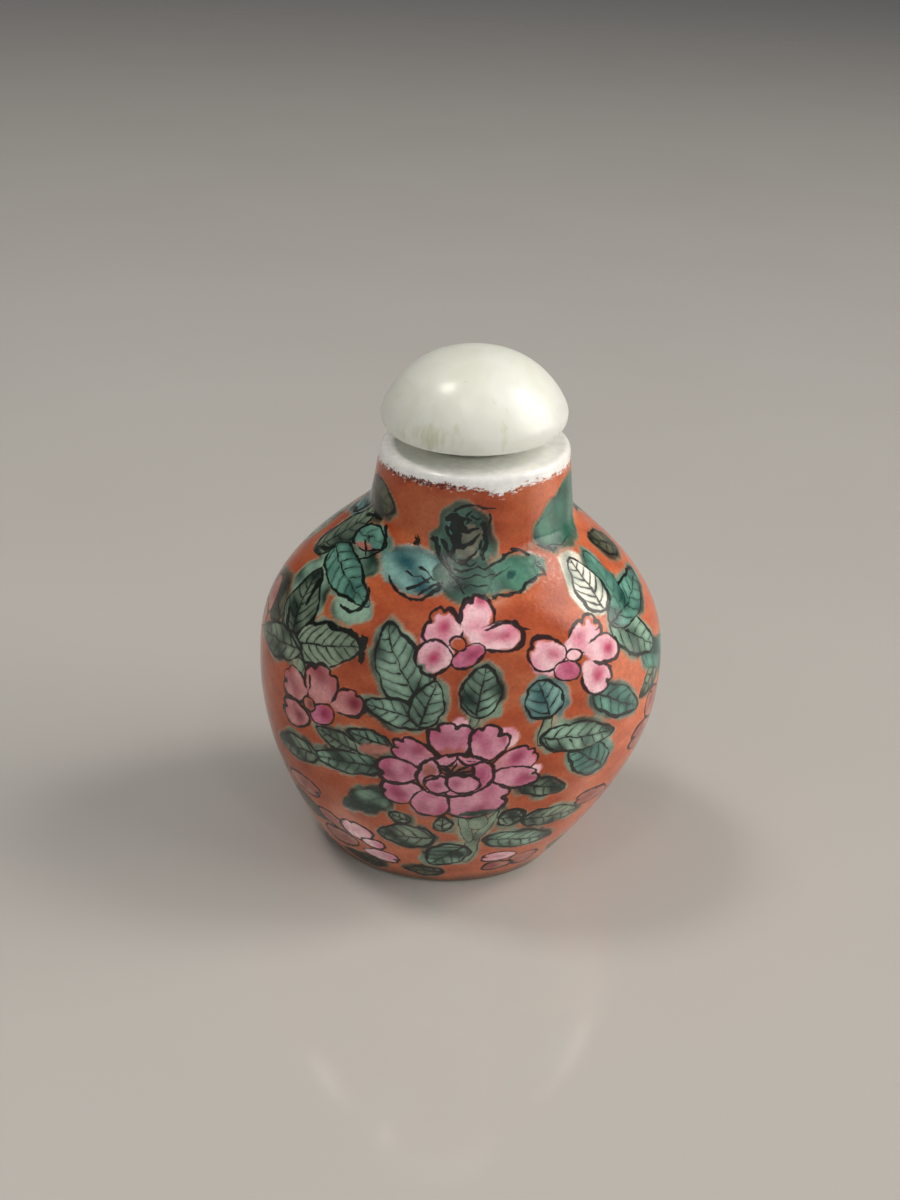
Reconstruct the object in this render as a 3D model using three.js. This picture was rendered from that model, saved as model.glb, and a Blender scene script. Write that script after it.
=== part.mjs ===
// Porcelain snuff bottle with a jade stopper, standing on its oval foot.
// Millimetres, +Z up. The origin is on the ground under the middle of the bottle, the painted
// front faces -Y, and the wider measure of the oval body runs along X.
//
// The bottle was thrown and pressed by hand, so it isn't quite regular: the foot sits a little to
// one side of the belly, the neck a hair to the other side, and the lip was ground slightly out
// of square. The body is an oval, and the neck above it is round.

import * as THREE from 'three';

// Body
const BODY_WIDTH = 45;
const BODY_DEPTH = 36;
const BELLY_HEIGHT = 22.5;
const FOOT_WIDTH = 27.6;
const FOOT_OFFSET = -1.15;
const BELLY_CURVE = 1.77;
const SHOULDER_CURVE = 3;
const SHOULDER_FLARE = 1.43;

// Neck, lip and mouth
const NECK_BASE_HEIGHT = 43;
const NECK_BASE_RADIUS = 10.8;
const NECK_OFFSET = 0.25;
const LIP_HEIGHT = 49.7;
const LIP_RADIUS = 9.8;
const LIP_ROUND = 0.6;
const LIP_THICKNESS = 3;
const LIP_SLANT = THREE.MathUtils.degToRad(2.5);
const MOUTH_RADIUS = 3.8;
const MOUTH_ROUND = 0.4;
const ROUNDING_START_HEIGHT = 28;
const SLANT_START_HEIGHT = 42;

// Walls and foot
const WALL = 2.6;
const FLOOR_HEIGHT = 3.8;
const FLOOR_FILLET = 3.2;
const CEILING_FILLET = 1.8;
const FOOT_EDGE = 0.4;
const FOOT_RING_WIDTH = 2.4;
const RECESS_DEPTH = 1.2;
const RECESS_SLOPE = 0.8;

// Stopper
const CAP_RADIUS = 9.6;
const CAP_DOME_HEIGHT = 6.15;
const CAP_DOME_CURVE = 1.31;
const CAP_DOME_ROUND = 0.4;
const CAP_EDGE_DROP = 1.6;
const CAP_UNDERSIDE_RADIUS = 9;
const SEAT_RADIUS = 5.4;
const SEAT_HEIGHT = 1.6;
const SEAT_CLEARANCE = 0.3;
const STOPPER_OFFSET = 0.1;

// Fineness of the facets
const BOTTLE_SIDES = 60;
const CAP_SIDES = 44;
const LOWER_WALL_STEPS = 11;
const UPPER_WALL_STEPS = 13;
const INNER_LOWER_STEPS = 6;
const INNER_UPPER_STEPS = 9;
const FILLET_STEPS = 3;
const DOME_STEPS = 10;

const BELLY_RADIUS = BODY_WIDTH / 2;
const FOOT_RADIUS = FOOT_WIDTH / 2;
const FLATNESS = BODY_DEPTH / BODY_WIDTH;

// Outer radius of the bottle at a height, side to side.
function outerRadius(height) {
  if (height <= BELLY_HEIGHT) {
    const below = (BELLY_HEIGHT - height) / BELLY_HEIGHT;
    return FOOT_RADIUS + (BELLY_RADIUS - FOOT_RADIUS) * (1 - below ** BELLY_CURVE);
  }
  if (height < NECK_BASE_HEIGHT) {
    const above = (height - BELLY_HEIGHT) / (NECK_BASE_HEIGHT - BELLY_HEIGHT);
    const fullness = (1 - above ** SHOULDER_CURVE) ** SHOULDER_FLARE;
    return NECK_BASE_RADIUS + (BELLY_RADIUS - NECK_BASE_RADIUS) * fullness;
  }
  const up = (height - NECK_BASE_HEIGHT) / (LIP_HEIGHT - NECK_BASE_HEIGHT);
  return THREE.MathUtils.lerp(NECK_BASE_RADIUS, LIP_RADIUS, up);
}

// Inner radius, one wall's thickness in from the outside, measured square to the wall.
function innerRadius(height) {
  const step = 0.05;
  const slope = (outerRadius(height + step) - outerRadius(height - step)) / (2 * step);
  return outerRadius(height) - WALL * Math.hypot(1, slope);
}

// Points of a wall between two heights.
function wall(radiusAt, fromHeight, toHeight, steps) {
  const points = [];
  for (let i = 0; i <= steps; i += 1) {
    const height = THREE.MathUtils.lerp(fromHeight, toHeight, i / steps);
    points.push(new THREE.Vector2(radiusAt(height), height));
  }
  return points;
}

// Points of a rounded corner that leaves start and reaches end, bending towards corner.
function rounded(start, corner, end) {
  return new THREE.QuadraticBezierCurve(start, corner, end).getPoints(FILLET_STEPS);
}

// Closed section of the bottle, from the middle of the recess under the foot, up the outside,
// over the lip and down the inside to the middle of the floor.
function bottleSection() {
  const recessRadius = FOOT_RADIUS - FOOT_RING_WIDTH;
  const lipEdge = LIP_RADIUS - LIP_ROUND;
  const ceiling = LIP_HEIGHT - LIP_THICKNESS;
  const filletTop = FLOOR_HEIGHT + FLOOR_FILLET;
  const filletWall = innerRadius(filletTop);
  const ceilingStart = ceiling - CEILING_FILLET;
  const outside = [
    new THREE.Vector2(0, RECESS_DEPTH),
    new THREE.Vector2(recessRadius - RECESS_SLOPE, RECESS_DEPTH),
    new THREE.Vector2(recessRadius, 0),
    new THREE.Vector2(FOOT_RADIUS - FOOT_EDGE, 0),
    ...wall(outerRadius, FOOT_EDGE, BELLY_HEIGHT, LOWER_WALL_STEPS),
    ...wall(outerRadius, BELLY_HEIGHT, LIP_HEIGHT - LIP_ROUND, UPPER_WALL_STEPS + 1).slice(1),
  ];
  const lip = [
    ...rounded(
      outside[outside.length - 1],
      new THREE.Vector2(LIP_RADIUS, LIP_HEIGHT),
      new THREE.Vector2(lipEdge, LIP_HEIGHT),
    ).slice(1),
    ...rounded(
      new THREE.Vector2(MOUTH_RADIUS + MOUTH_ROUND, LIP_HEIGHT),
      new THREE.Vector2(MOUTH_RADIUS, LIP_HEIGHT),
      new THREE.Vector2(MOUTH_RADIUS, LIP_HEIGHT - MOUTH_ROUND),
    ),
  ];
  const inside = [
    ...rounded(
      new THREE.Vector2(MOUTH_RADIUS, ceiling),
      new THREE.Vector2(innerRadius(ceilingStart), ceiling),
      new THREE.Vector2(innerRadius(ceilingStart), ceilingStart),
    ),
    ...wall(innerRadius, ceilingStart, BELLY_HEIGHT, INNER_UPPER_STEPS).slice(1),
    ...wall(innerRadius, BELLY_HEIGHT, filletTop, INNER_LOWER_STEPS).slice(1),
    ...rounded(
      new THREE.Vector2(filletWall, filletTop),
      new THREE.Vector2(filletWall - FLOOR_FILLET / 2, FLOOR_HEIGHT),
      new THREE.Vector2(filletWall - 2 * FLOOR_FILLET, FLOOR_HEIGHT),
    ).slice(1),
    new THREE.Vector2(0, FLOOR_HEIGHT),
  ];
  return [...outside, ...lip, ...inside];
}

// Turns a section about the upright axis into a solid with +Z up.
function turned(section, sides) {
  const geometry = new THREE.LatheGeometry(section, sides);
  geometry.rotateX(Math.PI / 2);
  return geometry;
}

// Presses the round turned bottle into its real shape: the oval body, the offsets of foot and
// neck, and the slanted lip.
function pressed(geometry) {
  const position = geometry.attributes.position;
  const { smoothstep, lerp } = THREE.MathUtils;
  for (let i = 0; i < position.count; i += 1) {
    const height = position.getZ(i);
    const footOffset = FOOT_OFFSET * (1 - smoothstep(height, 0, BELLY_HEIGHT));
    const neckOffset = NECK_OFFSET * smoothstep(height, BELLY_HEIGHT, NECK_BASE_HEIGHT);
    const depth = lerp(FLATNESS, 1, smoothstep(height, ROUNDING_START_HEIGHT, NECK_BASE_HEIGHT));
    const slant = Math.tan(LIP_SLANT) * smoothstep(height, SLANT_START_HEIGHT, LIP_HEIGHT);
    const across = position.getX(i);
    position.setXYZ(
      i,
      across + footOffset + neckOffset,
      position.getY(i) * depth,
      height + slant * across,
    );
  }
  geometry.computeVertexNormals();
  return geometry;
}

// Half section of the stopper, from the middle of its seat to the top of its dome.
function stopperSection() {
  const edgeHeight = SEAT_HEIGHT + CAP_EDGE_DROP;
  const points = [
    new THREE.Vector2(0, 0),
    new THREE.Vector2(SEAT_RADIUS, 0),
    new THREE.Vector2(SEAT_RADIUS, SEAT_HEIGHT),
    ...rounded(
      new THREE.Vector2(CAP_UNDERSIDE_RADIUS, SEAT_HEIGHT),
      new THREE.Vector2(CAP_RADIUS, SEAT_HEIGHT + CAP_EDGE_DROP / 4),
      new THREE.Vector2(CAP_RADIUS, edgeHeight),
    ),
  ];
  for (let i = 1; i < DOME_STEPS; i += 1) {
    const rise = 1 - (1 - i / DOME_STEPS) ** 2;
    const radius = CAP_RADIUS * (1 - rise ** CAP_DOME_CURVE) ** CAP_DOME_ROUND;
    points.push(new THREE.Vector2(radius, edgeHeight + CAP_DOME_HEIGHT * rise));
  }
  points.push(new THREE.Vector2(0, edgeHeight + CAP_DOME_HEIGHT));
  return points;
}

const porcelain = new THREE.MeshStandardMaterial({
  color: 0xd66a42,
  roughness: 0.18,
  metalness: 0,
});

const jade = new THREE.MeshStandardMaterial({
  color: 0xd3d2c2,
  roughness: 0.35,
  metalness: 0,
});

const bottle = new THREE.Mesh(pressed(turned(bottleSection(), BOTTLE_SIDES)), porcelain);
bottle.name = 'bottle';

const stopper = new THREE.Mesh(turned(stopperSection(), CAP_SIDES), jade);
stopper.name = 'stopper_cap';
stopper.position.set(STOPPER_OFFSET, 0, LIP_HEIGHT + SEAT_CLEARANCE);
stopper.rotation.y = -LIP_SLANT;

const snuffBottle = new THREE.Group();
snuffBottle.add(bottle, stopper);

export default snuffBottle;
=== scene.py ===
"""Porcelain snuff bottle with a jade stopper: its shape in fine mesh, its painting and its finishes.

Sizes are in millimetres and angles in degrees, counted round the bottle from the painted front
towards +X, until a mesh is made, which is in metres. The painting is worked out on the wall's
vertices: every motif lays its wash of enamel there and leaves the distance to its pen line, and
the material draws the pen lines, the leaf veins and the fine grain from those distances.
"""

import logging
import math
from dataclasses import KW_ONLY, dataclass, field
from enum import Enum
from functools import partial
from typing import Any

import bpy
import numpy as np
from mathutils import Matrix, Vector


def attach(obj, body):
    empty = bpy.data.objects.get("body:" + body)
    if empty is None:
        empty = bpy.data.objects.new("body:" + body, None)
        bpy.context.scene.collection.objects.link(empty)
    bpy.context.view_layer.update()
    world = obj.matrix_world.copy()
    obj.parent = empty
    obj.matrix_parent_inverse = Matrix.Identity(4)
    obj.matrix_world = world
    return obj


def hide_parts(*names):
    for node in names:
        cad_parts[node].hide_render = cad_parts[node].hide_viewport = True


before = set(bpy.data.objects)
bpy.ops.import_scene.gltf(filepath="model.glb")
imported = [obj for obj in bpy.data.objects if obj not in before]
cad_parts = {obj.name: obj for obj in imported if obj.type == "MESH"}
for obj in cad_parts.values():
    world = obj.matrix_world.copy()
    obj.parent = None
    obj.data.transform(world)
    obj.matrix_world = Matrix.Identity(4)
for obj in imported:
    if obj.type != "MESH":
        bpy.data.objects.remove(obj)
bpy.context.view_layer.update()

LOG = logging.getLogger("snuff_bottle")
MM = 0.001
CORAL = "#BC552D"
HALO_RIM = "#C2A481"
MAP_MARGIN = 0.004
BOTTLE_NODE = "bottle"
STOPPER_NODE = "stopper_cap"
BODY = "root"

Spot = tuple[float, float]


def smoothstep(value: np.ndarray | float, start: float, end: float) -> np.ndarray:
    """Eases from 0 at start to 1 at end.

    Args:
        value: The numbers to ease.
        start: Where the result is still 0; it may be above end.
        end: Where the result has reached 1.

    Returns:
        The eased numbers, from 0 to 1.
    """
    share = np.clip((np.asarray(value, float) - start) / (end - start), 0.0, 1.0)
    return share * share * (3.0 - 2.0 * share)


def bell(value: np.ndarray, middle: float | np.ndarray, width: float) -> np.ndarray:
    """A bell curve: 1 at the middle, about a third at one width from it."""
    return np.exp(-(((value - middle) / width) ** 2))


def linear(colour: str) -> np.ndarray:
    """Turns an sRGB hex colour such as "#D8683F" into linear red, green and blue.

    Args:
        colour: Six hex digits after a hash sign.

    Returns:
        The three linear values.
    """
    parts = [int(colour[i : i + 2], 16) / 255.0 for i in (1, 3, 5)]
    return np.array([part / 12.92 if part <= 0.04045 else ((part + 0.055) / 1.055) ** 2.4
                     for part in parts])


def per_metre(size_mm: float) -> float:
    """Gives the texture scale whose features are size_mm across on coordinates in metres."""
    return 1.0 / (size_mm * MM)


def add(tree: bpy.types.NodeTree, kind: str, inputs: dict | None = None, out: int | str = 0,
        **settings: Any) -> Any:
    """Adds one node, sets its options, and sets or links its inputs.

    Args:
        tree: The node tree that gets the node.
        kind: The node's type name without "ShaderNode", such as "Math".
        inputs: Input names or indices, each with a value, an sRGB hex colour or the socket that
            feeds it.
        out: The output that is wanted.
        **settings: The node's own options, such as operation="ADD".

    Returns:
        The output's socket, or None for a node that has none.
    """
    node = tree.nodes.new(f"ShaderNode{kind}")
    for name, value in settings.items():
        setattr(node, name, value)
    for key, value in (inputs or {}).items():
        if isinstance(value, bpy.types.NodeSocket):
            tree.links.new(value, node.inputs[key])
        else:
            given = (*linear(value), 1.0) if isinstance(value, str) else value
            node.inputs[key].default_value = given
    return node.outputs[out] if node.outputs else None


def blank(name: str) -> bpy.types.Material:
    """Makes a material whose node tree is still empty.

    Args:
        name: The finish and how it is made.

    Returns:
        The material.
    """
    made = bpy.data.materials.new(name)
    made.use_nodes = True
    made.node_tree.nodes.clear()
    return made


def placed(name: str, data: Any) -> bpy.types.Object:
    """Makes an object and links it to the scene.

    Args:
        name: The object's name.
        data: Its mesh, light or camera.

    Returns:
        The object.
    """
    made = bpy.data.objects.new(name, data)
    bpy.context.scene.collection.objects.link(made)
    return made


def store(made: bpy.types.Object, name: str, kind: str, values: np.ndarray) -> None:
    """Keeps values on an object's vertices, for its material to read.

    Args:
        made: The object.
        name: The attribute's name.
        kind: "FLOAT", "FLOAT_VECTOR" or "FLOAT_COLOR".
        values: One value or one row for each vertex.
    """
    part = {"FLOAT": "value", "FLOAT_VECTOR": "vector", "FLOAT_COLOR": "color"}[kind]
    held = made.data.attributes.new(name, kind, "POINT").data
    held.foreach_set(part, values.astype(np.float32).ravel())


def wrapped(angle: np.ndarray) -> np.ndarray:
    """Brings angles in degrees to between -180 and 180."""
    return (angle + 180.0) % 360.0 - 180.0


def soft_noise(points: np.ndarray, size: float, seed: int, waves: int = 10) -> np.ndarray:
    """Smooth cloudy noise, made from plane waves in seeded directions.

    Args:
        points: Places in millimetres, one row each.
        size: About how wide one cloud is, in millimetres.
        seed: Picks the directions and phases.
        waves: How many waves are added up.

    Returns:
        One value for each place, mostly from -1 to 1.
    """
    draw = np.random.default_rng(seed)
    directions = draw.normal(size=(waves, 3))
    directions /= np.linalg.norm(directions, axis=1, keepdims=True)
    lengths = size * draw.uniform(1.4, 2.8, waves)
    phases = draw.uniform(0.0, 2.0 * math.pi, waves)
    angles = points @ (directions / lengths[:, None] * 2.0 * math.pi).T + phases
    return np.sin(angles).sum(axis=1) / math.sqrt(waves)


def signed_distance(x: np.ndarray, y: np.ndarray, outline: np.ndarray) -> np.ndarray:
    """Distance from points to a closed outline.

    Args:
        x: The points' first coordinates.
        y: Their second coordinates.
        outline: The outline's corners, one row each.

    Returns:
        The distances, negative inside the outline.
    """
    start = outline
    step = np.roll(outline, -1, axis=0) - start
    px = x[:, None] - start[:, 0]
    py = y[:, None] - start[:, 1]
    along = np.clip((px * step[:, 0] + py * step[:, 1]) / (step**2).sum(axis=1), 0.0, 1.0)
    distance = np.hypot(px - along * step[:, 0], py - along * step[:, 1]).min(axis=1)
    crosses = (py >= 0.0) != (py - step[:, 1] >= 0.0)
    level = np.where(np.abs(step[:, 1]) < 1e-9, 1e-9, step[:, 1])
    right = px < py * step[:, 0] / level
    inside = (crosses & right).sum(axis=1) % 2 == 1
    return np.where(inside, -distance, distance)


@dataclass(frozen=True)
class Grid:
    """A mesh of rings: places in millimetres, faces, and a place on the flat map for each corner."""

    points: np.ndarray
    faces: list[tuple[int, ...]]
    corners: np.ndarray

    def mesh(self, name: str) -> bpy.types.Object:
        """Makes the smooth-shaded Blender object.

        Args:
            name: The object's name.

        Returns:
            The object, linked to the scene.
        """
        data = bpy.data.meshes.new(name)
        data.from_pydata((self.points * MM).tolist(), [], self.faces)
        data.polygons.foreach_set("use_smooth", np.ones(len(data.polygons), bool))
        layer = data.uv_layers.new(name="OFBake")
        layer.uv.foreach_set("vector", self.corners.astype(np.float32).ravel())
        return placed(name, data)


def ringed(rings: np.ndarray, first: np.ndarray, last: np.ndarray, across: np.ndarray,
           up: np.ndarray) -> Grid:
    """Joins closed rings of points into a solid's skin, with a point at each end.

    Args:
        rings: Ring by ring the places in millimetres, all rings with the same number of points.
        first: The point that closes the skin before the first ring.
        last: The point that closes it after the last ring.
        across: Each column's place across the flat map, with one more value for the seam.
        up: Each ring's place up the flat map.

    Returns:
        The grid with its faces pointing outwards when the rings run anticlockwise from above and
        upwards on the outside.
    """
    count, sides = rings.shape[:2]
    points = np.concatenate([rings.reshape(-1, 3), first[None], last[None]])
    ring, side = np.meshgrid(np.arange(count - 1), np.arange(sides), indexing="ij")
    here = ring * sides + side
    beside = ring * sides + (side + 1) % sides
    quads = np.stack([here, beside, beside + sides, here + sides], axis=-1).reshape(-1, 4)
    left, right = across[side], across[side + 1]
    low, high = up[ring], up[ring + 1]
    quad_corners = np.stack(
        [np.stack([left, low], -1), np.stack([right, low], -1), np.stack([right, high], -1),
         np.stack([left, high], -1)], axis=-2,
    ).reshape(-1, 2)
    start, end = count * sides, count * sides + 1
    top = (count - 1) * sides
    faces = [tuple(quad) for quad in quads.tolist()]
    faces += [(start, (i + 1) % sides, i) for i in range(sides)]
    faces += [(end, top + i, top + (i + 1) % sides) for i in range(sides)]
    fans = []
    for edge, flip in ((up[0], True), (up[-1], False)):
        for i in range(sides):
            pair = [[across[i], edge], [across[i + 1], edge]]
            fans += [[(across[i] + across[i + 1]) / 2.0, edge], *(pair[::-1] if flip else pair)]
    return Grid(points, faces, np.concatenate([quad_corners, np.array(fans)]))


@dataclass(frozen=True)
class BottleForm:
    """The bottle's shape, thrown round, pressed oval and a little out of true."""

    body_width: float = 45.0
    body_depth: float = 36.0
    belly_height: float = 22.5
    foot_width: float = 27.6
    foot_offset: float = -1.15
    belly_curve: float = 1.77
    shoulder_curve: float = 3.0
    shoulder_flare: float = 1.43
    neck_base_height: float = 43.0
    neck_base_radius: float = 10.8
    neck_offset: float = 0.25
    lip_height: float = 49.7
    lip_radius: float = 9.8
    lip_round: float = 0.6
    lip_thickness: float = 3.0
    lip_slant: float = 2.5
    mouth_radius: float = 3.8
    mouth_round: float = 0.4
    rounding_start_height: float = 28.0
    slant_start_height: float = 42.0
    wall: float = 2.6
    floor_height: float = 3.8
    floor_fillet: float = 3.2
    ceiling_fillet: float = 1.8
    foot_edge: float = 0.4
    foot_ring_width: float = 2.4
    recess_depth: float = 1.2
    recess_slope: float = 0.8
    hand_wave: float = 0.1
    front_columns: int = 296
    back_columns: int = 144
    wall_rings: int = 190
    inner_rings: int = 14
    # The unglazed foot ring's first mesh ring, and the one after its last
    bare_rings: tuple[int, int] = (2, 6)

    def outer_radius(self, height: np.ndarray) -> np.ndarray:
        """Outer radius, side to side.

        Args:
            height: Heights above the ground.

        Returns:
            The radius at each height.
        """
        height = np.asarray(height, float)
        belly, foot = self.body_width / 2.0, self.foot_width / 2.0
        below = np.clip((self.belly_height - height) / self.belly_height, 0.0, 1.0)
        low = foot + (belly - foot) * (1.0 - below**self.belly_curve)
        rise = (height - self.belly_height) / (self.neck_base_height - self.belly_height)
        fullness = (1.0 - np.clip(rise, 0.0, 1.0) ** self.shoulder_curve) ** self.shoulder_flare
        shoulder = self.neck_base_radius + (belly - self.neck_base_radius) * fullness
        up = (height - self.neck_base_height) / (self.lip_height - self.neck_base_height)
        neck = self.neck_base_radius + (self.lip_radius - self.neck_base_radius) * up
        return np.where(height <= self.belly_height, low,
                        np.where(height < self.neck_base_height, shoulder, neck))

    def inner_radius(self, height: np.ndarray) -> np.ndarray:
        """Inner radius, one wall's thickness in from the outside, square to the wall.

        Args:
            height: Heights above the ground.

        Returns:
            The inner radius at each height.
        """
        step = 0.05
        slope = (self.outer_radius(height + step) - self.outer_radius(height - step)) / (2 * step)
        return self.outer_radius(height) - self.wall * np.hypot(1.0, slope)

    def pressed(self, angle: np.ndarray, radius: np.ndarray, height: np.ndarray) -> np.ndarray:
        """Places a point of the round thrown bottle on the real, pressed one.

        Args:
            angle: Angles round the bottle, in degrees from the front.
            radius: Distances from the upright axis.
            height: Heights as thrown.

        Returns:
            The places, one row of x, y and z each.
        """
        turn = np.radians(angle)
        across = radius * np.sin(turn)
        rounding = smoothstep(height, self.rounding_start_height, self.neck_base_height)
        flatness = self.body_depth / self.body_width
        deep = -radius * np.cos(turn) * (flatness + (1.0 - flatness) * rounding)
        foot = self.foot_offset * (1.0 - smoothstep(height, 0.0, self.belly_height))
        neck = self.neck_offset * smoothstep(height, self.belly_height, self.neck_base_height)
        slant = math.tan(math.radians(self.lip_slant))
        lift = slant * smoothstep(height, self.slant_start_height, self.lip_height)
        return np.stack([across + foot + neck, deep, height + lift * across], axis=-1)

    def on_wall(self, angle: np.ndarray, height: np.ndarray) -> np.ndarray:
        """Places points on the outside of the wall.

        Args:
            angle: Angles round the bottle, in degrees from the front.
            height: Heights as thrown.

        Returns:
            The places, one row of x, y and z each.
        """
        return self.pressed(angle, self.outer_radius(height), height)

    def measure(self, spot: Spot) -> Spot:
        """Millimetres along the wall for one degree round it and for one millimetre of height.

        Args:
            spot: The angle and height where it is measured.

        Returns:
            The two measures.
        """
        angle, height = spot
        corners = self.on_wall(np.array([angle - 0.5, angle + 0.5, angle, angle]),
                               np.array([height, height, height - 0.5, height + 0.5]))
        return (float(np.linalg.norm(corners[1] - corners[0])),
                float(np.linalg.norm(corners[3] - corners[2])))

    def column_angles(self) -> np.ndarray:
        """The columns' angles, closer together on the painted front than on the back.

        Returns:
            The angles in degrees.
        """
        front = np.linspace(-90.0, 90.0, self.front_columns, endpoint=False)
        back = np.linspace(90.0, 270.0, self.back_columns, endpoint=False)
        return np.concatenate([front, back])

    def wall_heights(self) -> np.ndarray:
        """Heights of the outer wall's rings, evenly spaced along the wall.

        Returns:
            The heights as thrown.
        """
        fine = np.linspace(self.foot_edge, self.lip_height - self.lip_round, 2000)
        radius = self.outer_radius(fine)
        run = np.concatenate([[0.0], np.cumsum(np.hypot(np.diff(fine), np.diff(radius)))])
        return np.interp(np.linspace(0.0, run[-1], self.wall_rings), run, fine)

    def below_wall(self) -> np.ndarray:
        """Radius and height of the rings under the foot, from the recess to the wall.

        Returns:
            One row for each ring.
        """
        foot = self.foot_width / 2.0
        recess = foot - self.foot_ring_width
        flat = recess - self.recess_slope
        return np.array([
            (flat * 0.5, self.recess_depth), (flat, self.recess_depth),
            (recess - 0.1, 0.12), (recess + 0.15, 0.0), (foot - self.foot_edge, 0.0),
            (foot - 0.3 * self.foot_edge, 0.3 * self.foot_edge),
        ])

    def above_wall(self) -> np.ndarray:
        """Radius and height of the rings over the lip, through the mouth and down the inside.

        Returns:
            One row for each ring.
        """
        edge = self.lip_radius - self.lip_round
        top, mouth = self.lip_height, self.mouth_radius
        ceiling = top - self.lip_thickness
        under = ceiling - self.ceiling_fillet
        filleted = self.floor_height + self.floor_fillet
        corner = float(self.inner_radius(np.array(filleted)))
        start = (float(self.outer_radius(np.array(top - self.lip_round))), top - self.lip_round)
        inner_top = float(self.inner_radius(np.array(under)))
        inside = np.linspace(under, filleted, self.inner_rings)
        return np.concatenate([
            self.rounded(start, (self.lip_radius, top), (edge, top))[1:],
            self.rounded((mouth + self.mouth_round, top), (mouth, top),
                         (mouth, top - self.mouth_round)),
            self.rounded((mouth, ceiling), (inner_top, ceiling), (inner_top, under)),
            np.stack([self.inner_radius(inside), inside], axis=-1)[1:],
            self.rounded((corner, filleted), (corner - self.floor_fillet / 2.0, self.floor_height),
                         (corner - 2.0 * self.floor_fillet, self.floor_height))[1:],
        ])

    @staticmethod
    def rounded(start: Spot, corner: Spot, end: Spot, steps: int = 4) -> np.ndarray:
        """Points of a rounded corner.

        Args:
            start: Where the curve leaves.
            corner: The corner that it bends towards.
            end: Where it arrives.
            steps: How many steps it has.

        Returns:
            The points, one row of radius and height each.
        """
        share = np.linspace(0.0, 1.0, steps + 1)[:, None]
        return ((1 - share) ** 2 * np.array(start) + 2 * share * (1 - share) * np.array(corner)
                + share**2 * np.array(end))


class Green(Enum):
    """The green enamels: light colour, deep colour, and how far the wash runs past its outline."""

    LEAF = ("#96B9A2", "#16362D", 0.45)
    TEAL = ("#6FA593", "#164842", 0.52)
    BLUE = ("#84AFA6", "#20545A", 0.5)
    OLIVE = ("#6E7057", "#252A1B", 0.5)
    GREY = ("#91A48C", "#24392F", 0.36)
    CREAM = ("#FDFCEC", "#4E7A68", 0.7)
    SLATE = ("#4E7464", "#0F201B", 0.5)
    NECK = ("#4E806C", "#1E443B", 0.2)
    ASH = ("#727466", "#4C5045", 0.1)


class Pink(Enum):
    """The pink enamels: pale colour, full colour, and the deep blush in the middle."""

    ROSE = ("#FFD2D8", "#F0A0B6", "#BE1F5C")
    WINE = ("#D69494", "#B8585F", "#7E1F35")
    MAUVE = ("#E6A0B4", "#C4527E", "#96204E")
    DEEP = ("#D17595", "#BC3E6C", "#931A4A")
    DUSK = ("#C08070", "#A04E48", "#762636")
    BARE = (CORAL, CORAL, CORAL)
    AMBER = ("#A0624C", "#88483A", "#702C2C")


@dataclass(frozen=True)
class Motif:
    """A painted shape between a root and a tip, each at an angle and a height on the wall."""

    root: Spot
    tip: Spot
    width: float
    _: KW_ONLY
    bend: float = 0.0
    pen: float = 0.2

    def axes(self, form: BottleForm) -> tuple[Spot, Spot, float, float, float]:
        """Measures the motif on the wall.

        Args:
            form: The bottle that it is painted on.

        Returns:
            The middle, the wall's measures there, the length in millimetres, and the direction
            from root to tip as a cosine and a sine.
        """
        middle = ((self.root[0] + self.tip[0]) / 2.0, (self.root[1] + self.tip[1]) / 2.0)
        measure = form.measure(middle)
        run = (self.tip[0] - self.root[0]) * measure[0]
        rise = (self.tip[1] - self.root[1]) * measure[1]
        length = math.hypot(run, rise)
        return middle, measure, length, run / length, rise / length

    def local(self, form: BottleForm, angle: np.ndarray, height: np.ndarray
              ) -> tuple[np.ndarray, np.ndarray, float]:
        """Turns wall places into millimetres along and across the motif.

        Args:
            form: The bottle that it is painted on.
            angle: The places' angles.
            height: The places' heights.

        Returns:
            The distances along from the middle, the distances across from the bent midline, and
            the motif's length.
        """
        middle, measure, length, cosine, sine = self.axes(form)
        run = wrapped(angle - middle[0]) * measure[0]
        rise = (height - middle[1]) * measure[1]
        along = run * cosine + rise * sine
        across = rise * cosine - run * sine
        return along, across - self.bend * (1.0 - (2.0 * along / length) ** 2), length


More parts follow.
